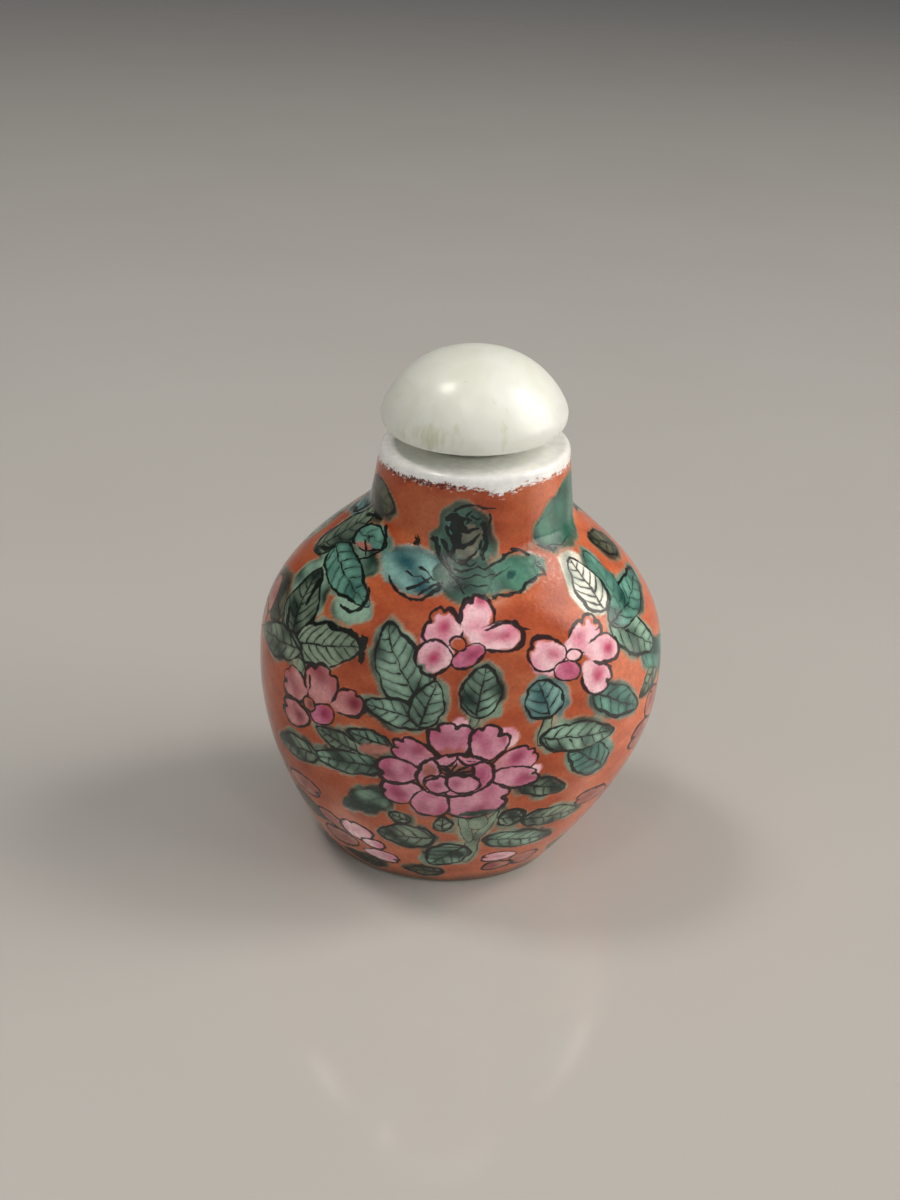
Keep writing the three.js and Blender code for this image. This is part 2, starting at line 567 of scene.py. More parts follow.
@dataclass(frozen=True)
class Leaf(Motif):
    """A peony leaf: pointed, scalloped between its side veins, washed over its outline."""

    wash: Green = Green.LEAF
    depth: float = 0.45
    vein_step: float = 1.5
    _: KW_ONLY
    scallops: int = 7
    vein: float = 0.15
    point: float = 0.45
    slip: float = 0.22
    warmth: float = 0.0

    def outline(self, length: float) -> np.ndarray:
        """The leaf's closed pen line, blunt at the root and drawn out at the tip.

        Args:
            length: The leaf's length.

        Returns:
            The corners in millimetres along and across, one row each.
        """
        turn = np.linspace(0.0, 2.0 * math.pi, 96, endpoint=False)
        sharp = np.where(np.cos(turn) > 0.0, self.point, 0.15)
        edge = 1.0 + 0.14 * (np.abs(np.sin(self.scallops * turn / 2.0)) - 0.5)
        across = np.sin(turn) * np.abs(np.sin(turn)) ** sharp * edge
        along = np.cos(turn) - 0.16 * np.sin(turn) ** 2
        return np.stack([length / 2.0 * along, self.width / 2.0 * across], axis=-1)

    def veining(self, along: np.ndarray, across: np.ndarray, length: float
                ) -> tuple[np.ndarray, np.ndarray, np.ndarray]:
        """Where the veins run: side veins leave the midrib in turn and bend towards the tip.

        Args:
            along: Millimetres along from the middle.
            across: Millimetres across from the midline.
            length: The leaf's length.

        Returns:
            The count of side veins passed, the distance from the midrib, and the veins' half
            width, all three in vein steps.
        """
        side = np.abs(across)
        passed = along - 0.42 * side - 0.22 * side**2 + 0.4 * self.vein_step * (across > 0.0)
        outward = np.clip(side / (self.width / 2.0), 0.0, 1.0)
        onward = np.clip(along / length + 0.5, 0.0, 1.0)
        half = self.vein * (1.15 - 0.5 * onward) * (1.0 - 0.45 * outward)
        return passed / self.vein_step, across / self.vein_step, half / self.vein_step

    def pressure(self, along: np.ndarray) -> np.ndarray:
        """How hard the pen is pressed along the leaf, which is evenly."""
        return np.ones_like(along)

    def enamel(self, points: np.ndarray, distance: np.ndarray, along: np.ndarray,
               across: np.ndarray) -> tuple[np.ndarray, np.ndarray]:
        """The wash's colour and cover.

        Args:
            points: The places in millimetres, for the noise.
            distance: Signed distance to the pen line.
            along: Place along the leaf, from -1 at the root to 1 at the tip.
            across: Place across it, from -1 to 1.

        Returns:
            The linear colours, and how much of the ground each covers.
        """
        light, deep, spill = self.wash.value
        clouds = soft_noise(points, 1.5, seed=11)
        ragged = soft_noise(points, 0.8, seed=12)
        lean = math.radians(17.0 * self.root[0] + 41.0 * self.root[1])
        slipped = distance + self.slip * (along * math.cos(lean) + across * math.sin(lean))
        slipped = slipped + 0.12 * ragged + 0.16 * clouds
        halo = smoothstep(slipped, spill + 0.24, spill - 0.16)
        inside = smoothstep(distance, 0.2, -0.5)
        shade = self.depth + 0.3 * clouds + 0.22 * np.sin(3.0 * along + 2.0 * across + lean) - 0.06
        shade = shade + 0.38 * (1.0 - inside) * smoothstep(slipped, spill + 0.1, spill - 0.5)
        shade = np.clip(shade, 0.0, 1.0)[:, None]
        colour = linear(light) * (1.0 - shade) + linear(deep) * shade
        rim = 0.5 * bell(slipped, spill + 0.05, 0.16)[:, None]
        colour = colour + (linear(HALO_RIM) - colour) * rim
        return colour, np.maximum(smoothstep(distance, 0.1, -0.15), halo * 0.93)


@dataclass(frozen=True)
class Petal(Motif):
    """A petal: broader and notched towards its tip, filled loosely with pink."""

    pink: Pink = Pink.ROSE
    blush: float = 0.7
    _: KW_ONLY
    notches: tuple[float, ...] = ()
    egg: float = 0.22
    blush_at: Spot = (0.2, 0.0)
    slip: Spot = (0.0, 0.0)
    thin_root: float = 0.0
    open_root: bool = False
    warmth: float = 1.0

    def outline(self, length: float) -> np.ndarray:
        """The petal's closed pen line, with a sharp notch at each given angle from the tip.

        Args:
            length: The petal's length.

        Returns:
            The corners in millimetres along and across, one row each.
        """
        turn = np.linspace(-math.pi, math.pi, 90, endpoint=False)
        swell = np.ones_like(turn)
        for notch in self.notches:
            off = (turn - math.radians(notch) + math.pi) % (2.0 * math.pi) - math.pi
            swell += 0.07 * bell(off, 0.0, 0.45) - 0.36 * np.exp(-np.abs(off) / 0.11)
        along = np.cos(turn) * swell
        across = np.sin(turn) * swell * (1.0 + self.egg * np.cos(turn))
        return np.stack([length / 2.0 * along, self.width / 2.0 * across], axis=-1)

    def veining(self, along: np.ndarray, across: np.ndarray, length: float
                ) -> tuple[np.ndarray, np.ndarray, np.ndarray]:
        """A petal has no veins."""
        nothing = np.zeros_like(along)
        return nothing, nothing, nothing

    def pressure(self, along: np.ndarray) -> np.ndarray:
        """How hard the pen is pressed along the petal: not at all at the root of an open one."""
        return smoothstep(along, -0.8, -0.3) if self.open_root else np.ones_like(along)

    def enamel(self, points: np.ndarray, distance: np.ndarray, along: np.ndarray,
               across: np.ndarray) -> tuple[np.ndarray, np.ndarray]:
        """The pink's colour and cover, which leaves slivers of the ground inside the pen line.

        Args:
            points: The places in millimetres, for the noise.
            distance: Signed distance to the pen line.
            along: Place along the petal, from -1 at the root to 1 at the tip.
            across: Place across it, from -1 to 1.

        Returns:
            The linear colours, and how much of the ground each covers.
        """
        pale, full, deep = (linear(colour) for colour in self.pink.value)
        clouds = soft_noise(points, 1.1, seed=21)
        ragged = soft_noise(points, 0.7, seed=22)
        slipped = distance + self.slip[0] * along + self.slip[1] * across
        cover = smoothstep(slipped + 0.08 * ragged, 0.02, -0.24)
        middle = np.hypot((along - self.blush_at[0]) / 0.46, (across - self.blush_at[1]) / 0.5)
        blush = np.clip(self.blush * bell(middle, 0.0, 1.0) + 0.1 * clouds, 0.0, 1.0)[:, None]
        tint = np.clip(0.3 + 0.3 * along + 0.3 * clouds, 0.0, 1.0)[:, None]
        colour = (pale * (1.0 - tint) + full * tint) * (1.0 - blush) + deep * blush
        bare = self.thin_root * smoothstep(along + 0.12 * ragged, -0.25, -0.6)
        return colour, cover * (1.0 - bare) * 0.98


@dataclass(frozen=True)
class Stroke:
    """One stroke of the brush through a few spots, thick at the start and thinner at the end."""

    spots: tuple[Spot, ...]
    width: float = 0.36
    thinning: float = 0.5


@dataclass
class PenLayer:
    """Pen lines that lie clear of each other, so that they share one set of distances."""

    distance: np.ndarray
    passed: np.ndarray
    midrib: np.ndarray
    pen: np.ndarray
    vein: np.ndarray
    taken: np.ndarray


@dataclass(frozen=True)
class CoralGround:
    """The ground: opaque iron-red enamel, brushed on by hand in one coat.

    To the eye it is a warm orange-red, a little cloudy and streaked by the brush. Light and shade
    are painted into it: it is lighter and milkier near the foot, as painted light bounced up from
    the floor, lighter and milkier on the right, as a painted sheen from the lights on that side,
    and darker on the neck, as painted shade under the stopper. Just above the foot it turns darker
    and greyer.
    """

    coral: str = CORAL
    dark: str = "#A04120"
    light: str = "#CC6C43"
    # Pale milky pink that the painted reflection near the foot and the painted sheen on the right draw
    # the ground towards
    milk: str = "#C88468"
    # The darker greyish colour of a band just above the foot, and how strongly it is laid on
    foot_dark_band: str = "#45442F"
    foot_band_share: float = 0.75
    cloud_size: float = 4.0
    streak_size: float = 1.6

    def colour(self, points: np.ndarray, angle: np.ndarray, height: np.ndarray) -> np.ndarray:
        """The ground's colour.

        Args:
            points: The wall's places in millimetres, for the noise.
            angle: Their angles.
            height: Their heights as thrown.

        Returns:
            The linear colours with the painted light and shade, one row each.
        """
        clouds = soft_noise(points, self.cloud_size, seed=1)[:, None]
        streaks = soft_noise(points * np.array([1.0, 1.0, 1.8]), self.streak_size, seed=2)[:, None]
        coral, dark, light, milk = map(linear, (self.coral, self.dark, self.light, self.milk))
        shade = np.clip(0.4 + 0.22 * clouds + 0.16 * streaks, 0.0, 1.0)
        colour = np.where(shade < 0.5, light + (coral - light) * shade * 2.0,
                          coral + (dark - coral) * (shade * 2.0 - 1.0))
        turn = wrapped(angle)
        # Painted light: the side facing the lights on the right is made lighter and milkier, a painted
        # sheen
        right = smoothstep(turn, 30.0, 56.0) * smoothstep(turn, 150.0, 90.0)
        # Painted light and shade: lighter near the foot, as light bounced from the floor, and darker
        # on the neck, as shade under the stopper
        low, high = smoothstep(height, 14.0, 3.0), smoothstep(height, 39.0, 45.0)
        colour *= (0.88 + 0.3 * low - 0.1 * high + 0.36 * right)[:, None]
        # Painted reflection near the foot and painted sheen on the right, drawn towards the pale milky
        # pink
        milky = 0.32 * smoothstep(height, 16.0, 4.0) + 0.22 * right
        colour += (milk - colour) * milky[:, None]
        # Darker and greyer in a ragged band just above the foot
        near_foot = smoothstep(height + 0.5 * soft_noise(points, 2.2, seed=7), 2.4, 0.6)[:, None]
        return colour + (linear(self.foot_dark_band) - colour) * near_foot * self.foot_band_share


@dataclass
class PaintedWall:
    """The bottle's outer wall while it is being painted."""

    form: BottleForm
    angle: np.ndarray
    height: np.ndarray
    points: np.ndarray = field(init=False)
    colour: np.ndarray = field(init=False)
    relief: np.ndarray = field(init=False)
    warmth: np.ndarray = field(init=False)
    layers: list[PenLayer] = field(default_factory=list)

    # Millimetres: no line is near, and how far a wash, a pen line and a stroke reach past the edge
    CLEAR = 9.0
    REACH = 1.6
    LINE_REACH = 0.62
    STROKE_REACH = 0.4

    def __post_init__(self) -> None:
        """Lays the coral ground over the whole wall."""
        self.points = self.form.on_wall(self.angle, self.height)
        self.colour = CoralGround().colour(self.points, self.angle, self.height)
        self.relief = np.zeros(len(self.angle))
        self.warmth = np.zeros(len(self.angle))

    def new_layer(self) -> PenLayer:
        """Starts an empty layer of pen lines.

        Returns:
            The new layer.
        """
        count = len(self.angle)
        empty = [np.zeros(count) for _ in range(4)]
        self.layers.append(PenLayer(np.full(count, self.CLEAR), *empty, np.zeros(count, bool)))
        return self.layers[-1]

    def paint(self, motif: Leaf | Petal) -> None:
        """Lays a motif's enamel over what is there and keeps its pen line.

        Args:
            motif: The leaf or petal.
        """
        along, across, length = motif.local(self.form, self.angle, self.height)
        near = np.flatnonzero((np.abs(along) < length / 2.0 + self.REACH)
                              & (np.abs(across) < motif.width / 2.0 + self.REACH + 0.4))
        if not len(near):
            return
        x, y = along[near], across[near]
        distance = signed_distance(x, y, motif.outline(length))
        colour, cover = motif.enamel(self.points[near], distance, 2.0 * x / length,
                                     2.0 * y / motif.width)
        outside = distance > 0.0
        cover = np.where(outside, cover * (1.0 - np.clip(self.relief[near] * 1.3, 0.0, 1.0)), cover)
        self.colour[near] += (colour - self.colour[near]) * cover[:, None]
        self.relief[near] = np.maximum(self.relief[near], cover)
        self.warmth[near] += (motif.warmth - self.warmth[near]) * smoothstep(distance, 0.5, 0.2)
        hidden = 1.0 - smoothstep(distance, 0.05, -0.2)
        for layer in self.layers:
            layer.pen[near] *= hidden
            layer.vein[near] *= hidden
        if motif.pen == 0.0:
            return
        lined = distance < self.LINE_REACH
        free = [layer for layer in self.layers if not layer.taken[near[lined]].any()]
        layer = free[0] if free else self.new_layer()
        here = near[lined]
        layer.distance[here] = distance[lined]
        passed, midrib, vein = motif.veining(x[lined], y[lined], length)
        layer.passed[here] = passed
        layer.midrib[here] = midrib
        layer.vein[here] = vein
        press = 1.0 + 0.25 * soft_noise(self.points[here], 2.4, seed=31)
        layer.pen[here] = motif.pen * press * motif.pressure(2.0 * x[lined] / length)
        layer.taken[here] = True

    def draw(self, stroke: Stroke) -> None:
        """Adds a brush stroke over everything that is there.

        Args:
            stroke: The stroke.
        """
        reach = stroke.width / 2.0 + self.STROKE_REACH
        nearest = np.full(len(self.angle), self.CLEAR)
        across = np.zeros(len(self.angle))
        share = np.zeros(len(self.angle))
        beyond = np.zeros(len(self.angle))
        last = len(stroke.spots) - 1
        for number, (start, end) in enumerate(zip(stroke.spots, stroke.spots[1:])):
            measure = self.form.measure(start)
            x = wrapped(self.angle - start[0]) * measure[0]
            y = (self.height - start[1]) * measure[1]
            run = (end[0] - start[0]) * measure[0]
            rise = (end[1] - start[1]) * measure[1]
            length = math.hypot(run, rise)
            along = (x * run + y * rise) / length
            held = np.clip(along, 0.0, length)
            distance = np.hypot(x - held * run / length, y - held * rise / length)
            closer = distance < nearest
            nearest = np.where(closer, distance, nearest)
            side = np.sign(y * run - x * rise)
            across = np.where(closer, side * distance, across)
            share = np.where(closer, (number + held / length) / last, share)
            before = -along if number == 0 else 0.0
            past = np.maximum(before, along - length if number == last - 1 else 0.0)
            beyond = np.where(closer, past, beyond)
        here = np.flatnonzero(nearest < reach)
        half = stroke.width / 2.0 * (1.0 - stroke.thinning * share[here])
        half = half * smoothstep(beyond[here], 0.5 * stroke.width + 0.12, 0.0)
        free = [layer for layer in self.layers if not layer.taken[here].any()]
        layer = free[0] if free else self.new_layer()
        layer.distance[here] = across[here]
        layer.pen[here] = half
        layer.vein[here] = 0.0
        layer.taken[here] = True


@dataclass(frozen=True)
class FrontPainting:
    """The painted front: one large peony, smaller blossoms round it, and leaves between."""

    def leaves(self) -> list[Leaf]:
        """The leaves, from the lowest layer of enamel to the highest.

        Returns:
            The leaves in painting order.
        """
        leaf, teal, blue, olive, grey, cream, slate, neck, ash = Green
        wash, tint = partial(Leaf, pen=0.0), partial(Petal, pen=0.0)
        return [
            wash((92, 46.2), (34.5, 42.7), 5.6, neck, 0.45, scallops=3, point=0.3),
            Leaf((-82, 45.0), (-47.5, 44.6), 3.6, olive, 0.55, vein=0.09),
            wash((-76, 38.6), (-40, 39.4), 5.0, leaf, 0.5, scallops=3, point=0.1),
            Leaf((-80, 37.4), (-69, 43.4), 4.0, grey, 0.6),
            Leaf((-66, 31.2), (-88, 33.4), 4.2, olive, 0.5, pen=0.1),
            wash((-46.0, 35.6), (-31.5, 36.2), 3.0, leaf, 0.12, point=0.1),
            wash((-72, 37.0), (-52, 34.0), 5.6, leaf, 0.3, point=0.1),
            Leaf((-67, 40.9), (-43.5, 41.2), 2.9, teal, 0.25, 2.4, bend=0.2),
            tint((-62, 40.3), (-49, 40.6), 1.0, Pink.DUSK, 0.0, egg=0.0),
            Leaf((-55, 30.4), (-65, 37.2), 5.2, grey, 0.75, 1.2, vein=0.15),
            Leaf((-71, 39.1), (-34, 36.7), 3.7, teal, 0.3, 1.5, bend=0.3),
            Leaf((-54, 30.4), (-29.5, 33.0), 4.9, grey, 0.08, 1.15),
            Leaf((-50, 30.0), (-77, 28.2), 3.6, grey, 0.7),
            wash((-8, 40.0), (-42.5, 40.6), 4.0, blue, 0.5, slip=0.1),
            wash((3, 39.9), (38, 41.2), 3.4, neck, 0.1, slip=0.1),
            wash((16.5, 40.4), (22.0, 40.8), 0.7, teal, 1.0, scallops=2, slip=0.0),
            wash((30, 41.0), (35.5, 41.0), 0.8, teal, 0.9, scallops=2, slip=0.0),
            wash((-16, 40.6), (12, 40.6), 3.4, slate, 0.35, scallops=2, point=0.1),
            wash((-1.0, 38.6), (-1.2, 42.6), 4.8, slate, 0.4, scallops=2, point=0.1),
            wash((-4.0, 40.7), (-3.8, 46.7), 5.6, slate, 0.45, point=0.05, slip=0.05, scallops=5),
            wash((-13.0, 44.6), (-7.6, 44.3), 1.7, blue, 0.7, point=0.1, slip=0.0),
            wash((-5.0, 43.4), (6.4, 44.2), 2.3, ash, 0.3, point=0.1, slip=0.0),
            wash((-7.0, 42.2), (4.6, 42.2), 1.4, ash, 0.3, point=0.1, slip=0.0),
            Leaf((-8.0, 27.2), (-25, 35.9), 5.0, leaf, 0.42, 1.35, scallops=9),
            Leaf((-7.5, 26.3), (-25.5, 27.2), 3.0, leaf, 0.5, 1.25),
            Leaf((-9.8, 25.6), (-6.4, 30.9), 3.3, leaf, 0.42, 1.15),
            Leaf((4.6, 27.2), (6.6, 32.9), 3.9, leaf, 0.6, 1.1, point=0.15),
            Leaf((24.5, 26.8), (21.0, 31.0), 4.1, blue, 0.5, 1.3, point=0.1),
            Leaf((46.5, 18.3), (32, 22.4), 3.9, teal, 0.5, 1.3, point=0.2),
            Leaf((22.5, 24.3), (47.5, 22.9), 3.4, leaf, 0.4, 1.4),
            Leaf((38.5, 28.4), (58.5, 24.3), 3.3, teal, 0.55),
            Leaf((75, 28.2), (59, 25.3), 2.7, grey, 0.5, 1.2),
            Leaf((61, 30.2), (93, 25.8), 3.4, teal, 0.6, vein=0.06, pen=0.08),
            Leaf((51, 34.9), (71, 29.8), 4.4, leaf, 0.42),
            Leaf((51, 34.8), (88, 36.2), 3.8, teal, 0.5, 1.7),
            Leaf((60, 35.2), (64, 40.5), 3.6, teal, 0.4, vein=0.06, pen=0.08),
            Leaf((52, 36.0), (52, 40.6), 3.9, cream, 0.2, 1.05, vein=0.19, pen=0.22, point=0.15),
            Leaf((94, 38.2), (76, 40.8), 3.2, olive, 0.5),
            Leaf((-17, 22.6), (-30, 23.2), 2.2, leaf, 0.6, 1.0),
            Leaf((-24, 20.6), (-41, 22.2), 2.6, grey, 0.5, 1.1),
            Leaf((-19, 19.8), (-43, 18.2), 2.9, leaf, 0.6, 1.3),
            Leaf((-41, 18.4), (-61, 17.0), 3.2, grey, 0.7, 1.4),
            Leaf((-17.5, 15.9), (-33.5, 12.0), 3.3, leaf, 0.85, vein=0.05, pen=0.08),
            Leaf((18.5, 18.6), (33.8, 16.6), 2.6, grey, 0.75, 1.2),
            Leaf((-11, 12.2), (-17.6, 13.1), 1.8, grey, 0.5, 0.9),
            Leaf((-1.0, 11.2), (-1.4, 13.6), 2.0, grey, 0.45, 0.9),
            Leaf((15.0, 13.4), (23.2, 13.3), 2.9, grey, 0.5, 1.0, point=0.1),
            Leaf((23, 12.8), (46, 11.6), 3.2, grey, 0.4, 1.3),
            Leaf((13, 9.8), (41, 7.8), 3.3, leaf, 0.5, 1.4),
            Leaf((-3.0, 9.8), (-22, 9.2), 4.3, grey, 0.55, 1.4),
            Leaf((7.4, 8.4), (-3.5, 4.4), 4.4, leaf, 0.6, 1.2),
            Leaf((2, 2.6), (-13, 2.7), 2.2, olive, 0.6, 1.2),
            Leaf((-24, 2.2), (-42, 2.4), 2.0, olive, 0.6, 1.2),
            Leaf((50, 4.4), (68, 3.0), 2.6, grey, 0.5, 1.2),
            Leaf((-62, 9.4), (-46, 7.4), 2.8, olive, 0.5, 1.3),
        ]

    def stems(self) -> list[Leaf]:
        """The stalks, which are narrow leaves with pen lines on both sides.

        Returns:
            The stalks and a bud.
        """
        ways = (
            ((3.6, 25.8), (4.8, 28.0), 0.9), ((22.6, 23.4), (24.4, 27.4), 1.3),
            ((-4.0, 26.2), (-13.0, 27.6), 1.1), ((-48.0, 27.6), (-50.0, 31.0), 1.2),
            ((9.6, 5.0), (9.6, 11.2), 1.7), ((8.8, 9.2), (3.0, 14.6), 1.3),
            ((10.0, 9.6), (14.4, 14.8), 1.2),
        )
        thin = dict(scallops=0, vein=0.0, pen=0.1)
        stalks = [Leaf(root, tip, width, Green.GREY, 0.15, slip=0.0, **thin)
                  for root, tip, width in ways]
        return [*stalks, Leaf((9.4, 11.6), (9.0, 14.4), 2.3, Green.GREY, 0.12, point=0.1, **thin)]

    def peony(self) -> list[Motif]:
        """The large peony: its outer petals and the folded heart inside them.

        Returns:
            Its washes and petals in painting order.
        """
        mauve, deep, dusk, amber = Pink.MAUVE, Pink.DEEP, Pink.DUSK, Pink.AMBER
        closed, tint, wash = partial(Petal, pen=0.23), partial(Petal, pen=0.0), partial(Leaf, pen=0.0)
        spilt = [
            tint((9.5, 23.6), (15.6, 25.6), 2.6, Pink.ROSE, 0.0),
            tint((-3.4, 25.0), (2.8, 26.8), 1.8, Pink.ROSE, 0.0),
            tint((19.0, 20.2), (24.0, 20.6), 1.6, Pink.ROSE, 0.1),
            tint((-15.0, 22.4), (-27.0, 21.4), 1.5, dusk, 0.1),
            tint((-12.0, 14.6), (-5.0, 13.2), 1.2, dusk, 0.1),
        ]
        outer = [
            closed((-0.8, 21.9), (-1.6, 26.4), 4.7, mauve, notches=(36, -12), egg=0.32,
                   blush_at=(0.25, 0.1), thin_root=0.75),
            closed((9.8, 20.9), (21.7, 22.6), 3.3, mauve, notches=(30, 6), blush_at=(0.2, 0.3),
                   thin_root=0.3),
            closed((3.6, 19.6), (9.6, 14.0), 7.0, mauve, 0.6, notches=(66,), egg=0.12,
                   blush_at=(0.62, -0.05)),
            closed((-8.0, 17.6), (-19.5, 16.2), 3.7, mauve, notches=(-6,), blush_at=(0.1, 0.2)),
            closed((-4.9, 21.5), (-16.8, 23.0), 3.3, mauve, notches=(-34, 4), blush_at=(0.1, -0.2),
                   thin_root=0.3),
            closed((6.2, 21.7), (10.0, 26.1), 3.9, mauve, 0.5, notches=(34, -24), egg=0.32,
                   blush_at=(0.7, -0.7), slip=(0.0, -0.1)),
            closed((9.8, 20.0), (23.2, 19.3), 2.9, mauve, 0.75, notches=(24,), blush_at=(0.6, 0.0),
                   egg=0.1),
            closed((-4.2, 18.0), (-6.6, 13.7), 4.1, mauve, blush_at=(0.5, -0.1)),
            closed((-8.9, 19.7), (-21.2, 19.5), 3.5, mauve, 0.85, notches=(14,),
                   blush_at=(0.35, 0.3)),
        ]
        heart = [
            tint((-10.2, 19.8), (10.9, 20.0), 5.5, mauve, 0.1, egg=0.0),
            tint((-8.8, 20.2), (-4.4, 20.4), 2.3, dusk, 0.1, egg=0.0),
            tint((-4.2, 20.3), (5.4, 20.6), 2.1, amber, 0.2, egg=0.0),
            tint((10.0, 20.2), (5.4, 20.1), 2.4, deep, 0.5, egg=0.0),
            Petal((-3.9, 17.2), (-3.9, 19.7), 3.1, mauve, pen=0.2, notches=(8,),
                  blush_at=(0.0, 0.0)),
            Petal((1.8, 17.5), (3.2, 20.0), 3.5, mauve, pen=0.2, notches=(6,), blush_at=(0.0, 0.3)),
        ]
        shadow = wash((2.6, 14.1), (15.6, 14.9), 1.1, Green.GREY, 0.9, scallops=0)
        return [*spilt, *outer, *heart, shadow]

    def blossoms(self) -> list[Petal]:
        """The smaller blossoms round the peony, petal by petal.

        Returns:
            The petals in painting order.
        """
        rose, deep, dusk, bare = Pink.ROSE, Pink.DEEP, Pink.DUSK, Pink.BARE
        closed = partial(Petal, pen=0.23)
        opened = partial(closed, open_root=True)
        upper = [
            closed((-0.8, 35.8), (-12.8, 36.6), 3.9, rose, 0.9, notches=(-8, -66),
                   blush_at=(0.0, -0.15), slip=(0.15, -0.55)),
            closed((-2.6, 33.6), (-13.2, 33.2), 3.6, rose, 0.95, notches=(34,), blush_at=(0.1, 0.0),
                   slip=(0.1, 0.3)),
            opened((1.4, 35.6), (5.6, 39.0), 3.3, rose, 0.8, notches=(38,), blush_at=(0.8, 0.1),
                   slip=(0.0, -0.25)),
            Petal((2.0, 35.5), (18.8, 35.8), 2.9, rose, 0.9, pen=0.22, open_root=True,
                  blush_at=(0.2, 0.05), slip=(0.35, 0.0)),
            Petal((-3.0, 32.8), (6.0, 34.8), 2.1, deep, pen=0.16, egg=0.0),
            Petal((-4.2, 35.0), (0.8, 35.0), 1.5, bare, pen=0.17, egg=0.0),
        ]
        right = [
            closed((31.2, 33.7), (18.9, 33.6), 3.6, rose, 0.8, notches=(-30,), blush_at=(-0.2, 0.0),
                   slip=(0.1, -0.45)),
            opened((36.5, 32.2), (42.8, 28.4), 3.6, rose, 0.8, notches=(24,), blush_at=(0.1, 0.0)),
            opened((31.4, 33.5), (46.3, 35.6), 3.0, rose, 0.8, notches=(60, 2), blush_at=(0.0, 0.3),
                   slip=(0.35, 0.1)),
            opened((36.8, 32.9), (50.8, 32.7), 3.1, rose, 0.9, blush_at=(0.35, 0.0)),
            Petal((26.0, 31.9), (34.8, 31.3), 2.3, deep, 0.3, pen=0.16, egg=0.0),
            Petal((30.6, 33.1), (36.2, 33.0), 1.3, rose, 0.1, pen=0.17, egg=0.0, slip=(0.2, 0.0)),
        ]
        left = [
            closed((-44.2, 25.6), (-55.8, 25.9), 4.0, Pink.WINE, notches=(4, -40)),
            opened((-36.4, 25.8), (-25.6, 27.0), 3.0, Pink.WINE, 0.9, notches=(34,),
                   blush_at=(0.5, 0.0)),
            closed((-43.2, 22.7), (-55.4, 22.3), 3.3, Pink.WINE, 0.9, notches=(-12,),
                   blush_at=(-0.3, 0.0)),
            opened((-40.4, 25.0), (-39.8, 29.6), 4.3, Pink.WINE, notches=(30, -30),
                   blush_at=(0.4, 0.0)),
            Petal((-42.6, 23.0), (-35.0, 25.0), 2.4, deep, 0.9, pen=0.16, egg=0.0),
            Petal((-46.0, 24.5), (-41.2, 24.6), 1.7, dusk, pen=0.17, egg=0.0),
        ]
        low = [
            Petal((-32.0, 5.6), (-50.0, 5.0), 3.2, dusk, 0.3),
            Petal((-34.0, 7.2), (-48.0, 9.0), 2.4, dusk, 0.3),
            Petal((-32.0, 6.4), (-30.0, 9.5), 4.0, rose, 0.4, notches=(20,)),
            Petal((-30.0, 6.4), (-20.4, 6.5), 1.9, rose, 0.2),
            Petal((-31.0, 4.4), (-15.4, 4.3), 2.4, rose, 0.3, notches=(-16,)),
            Petal((29.0, 4.6), (42.0, 3.4), 2.8, dusk, 0.4),
            Petal((30.0, 5.4), (15.6, 5.7), 2.2, rose, 0.6, notches=(0,)),
            Petal((31.0, 3.4), (18.0, 3.4), 2.1, dusk, 0.5, notches=(0,)),
        ]
        sides = [
            Petal((60.0, 12.0), (78.0, 9.4), 3.4, dusk, 0.3),
            Petal((58.0, 12.8), (41.6, 13.8), 2.5, dusk, 0.5, notches=(10,)),
            Petal((-61.0, 12.2), (-43.4, 12.2), 2.8, dusk, 0.3, notches=(-10,)),
            Petal((-62.0, 12.8), (-78.0, 13.6), 3.2, dusk, 0.4),
            Petal((75.0, 20.6), (92.0, 17.6), 4.0, dusk, 0.4, notches=(0,)),
            Petal((75.0, 19.4), (58.0, 19.8), 3.6, dusk, 0.6, notches=(0,)),
            Petal((76.0, 21.0), (66.0, 24.4), 3.6, dusk, 0.4, notches=(-20,)),
            Petal((77.0, 21.2), (84.0, 25.0), 3.8, dusk, 0.4, notches=(20,)),
            Petal((73.0, 20.6), (80.0, 20.0), 1.8, deep, egg=0.0),
            Petal((-76.0, 30.4), (-88.0, 33.0), 3.4, dusk, 0.5, notches=(10,)),
            Petal((-77.0, 29.4), (-90.0, 28.6), 3.2, dusk, 0.5, notches=(-10,)),
        ]
        return upper + right + left + low + sides

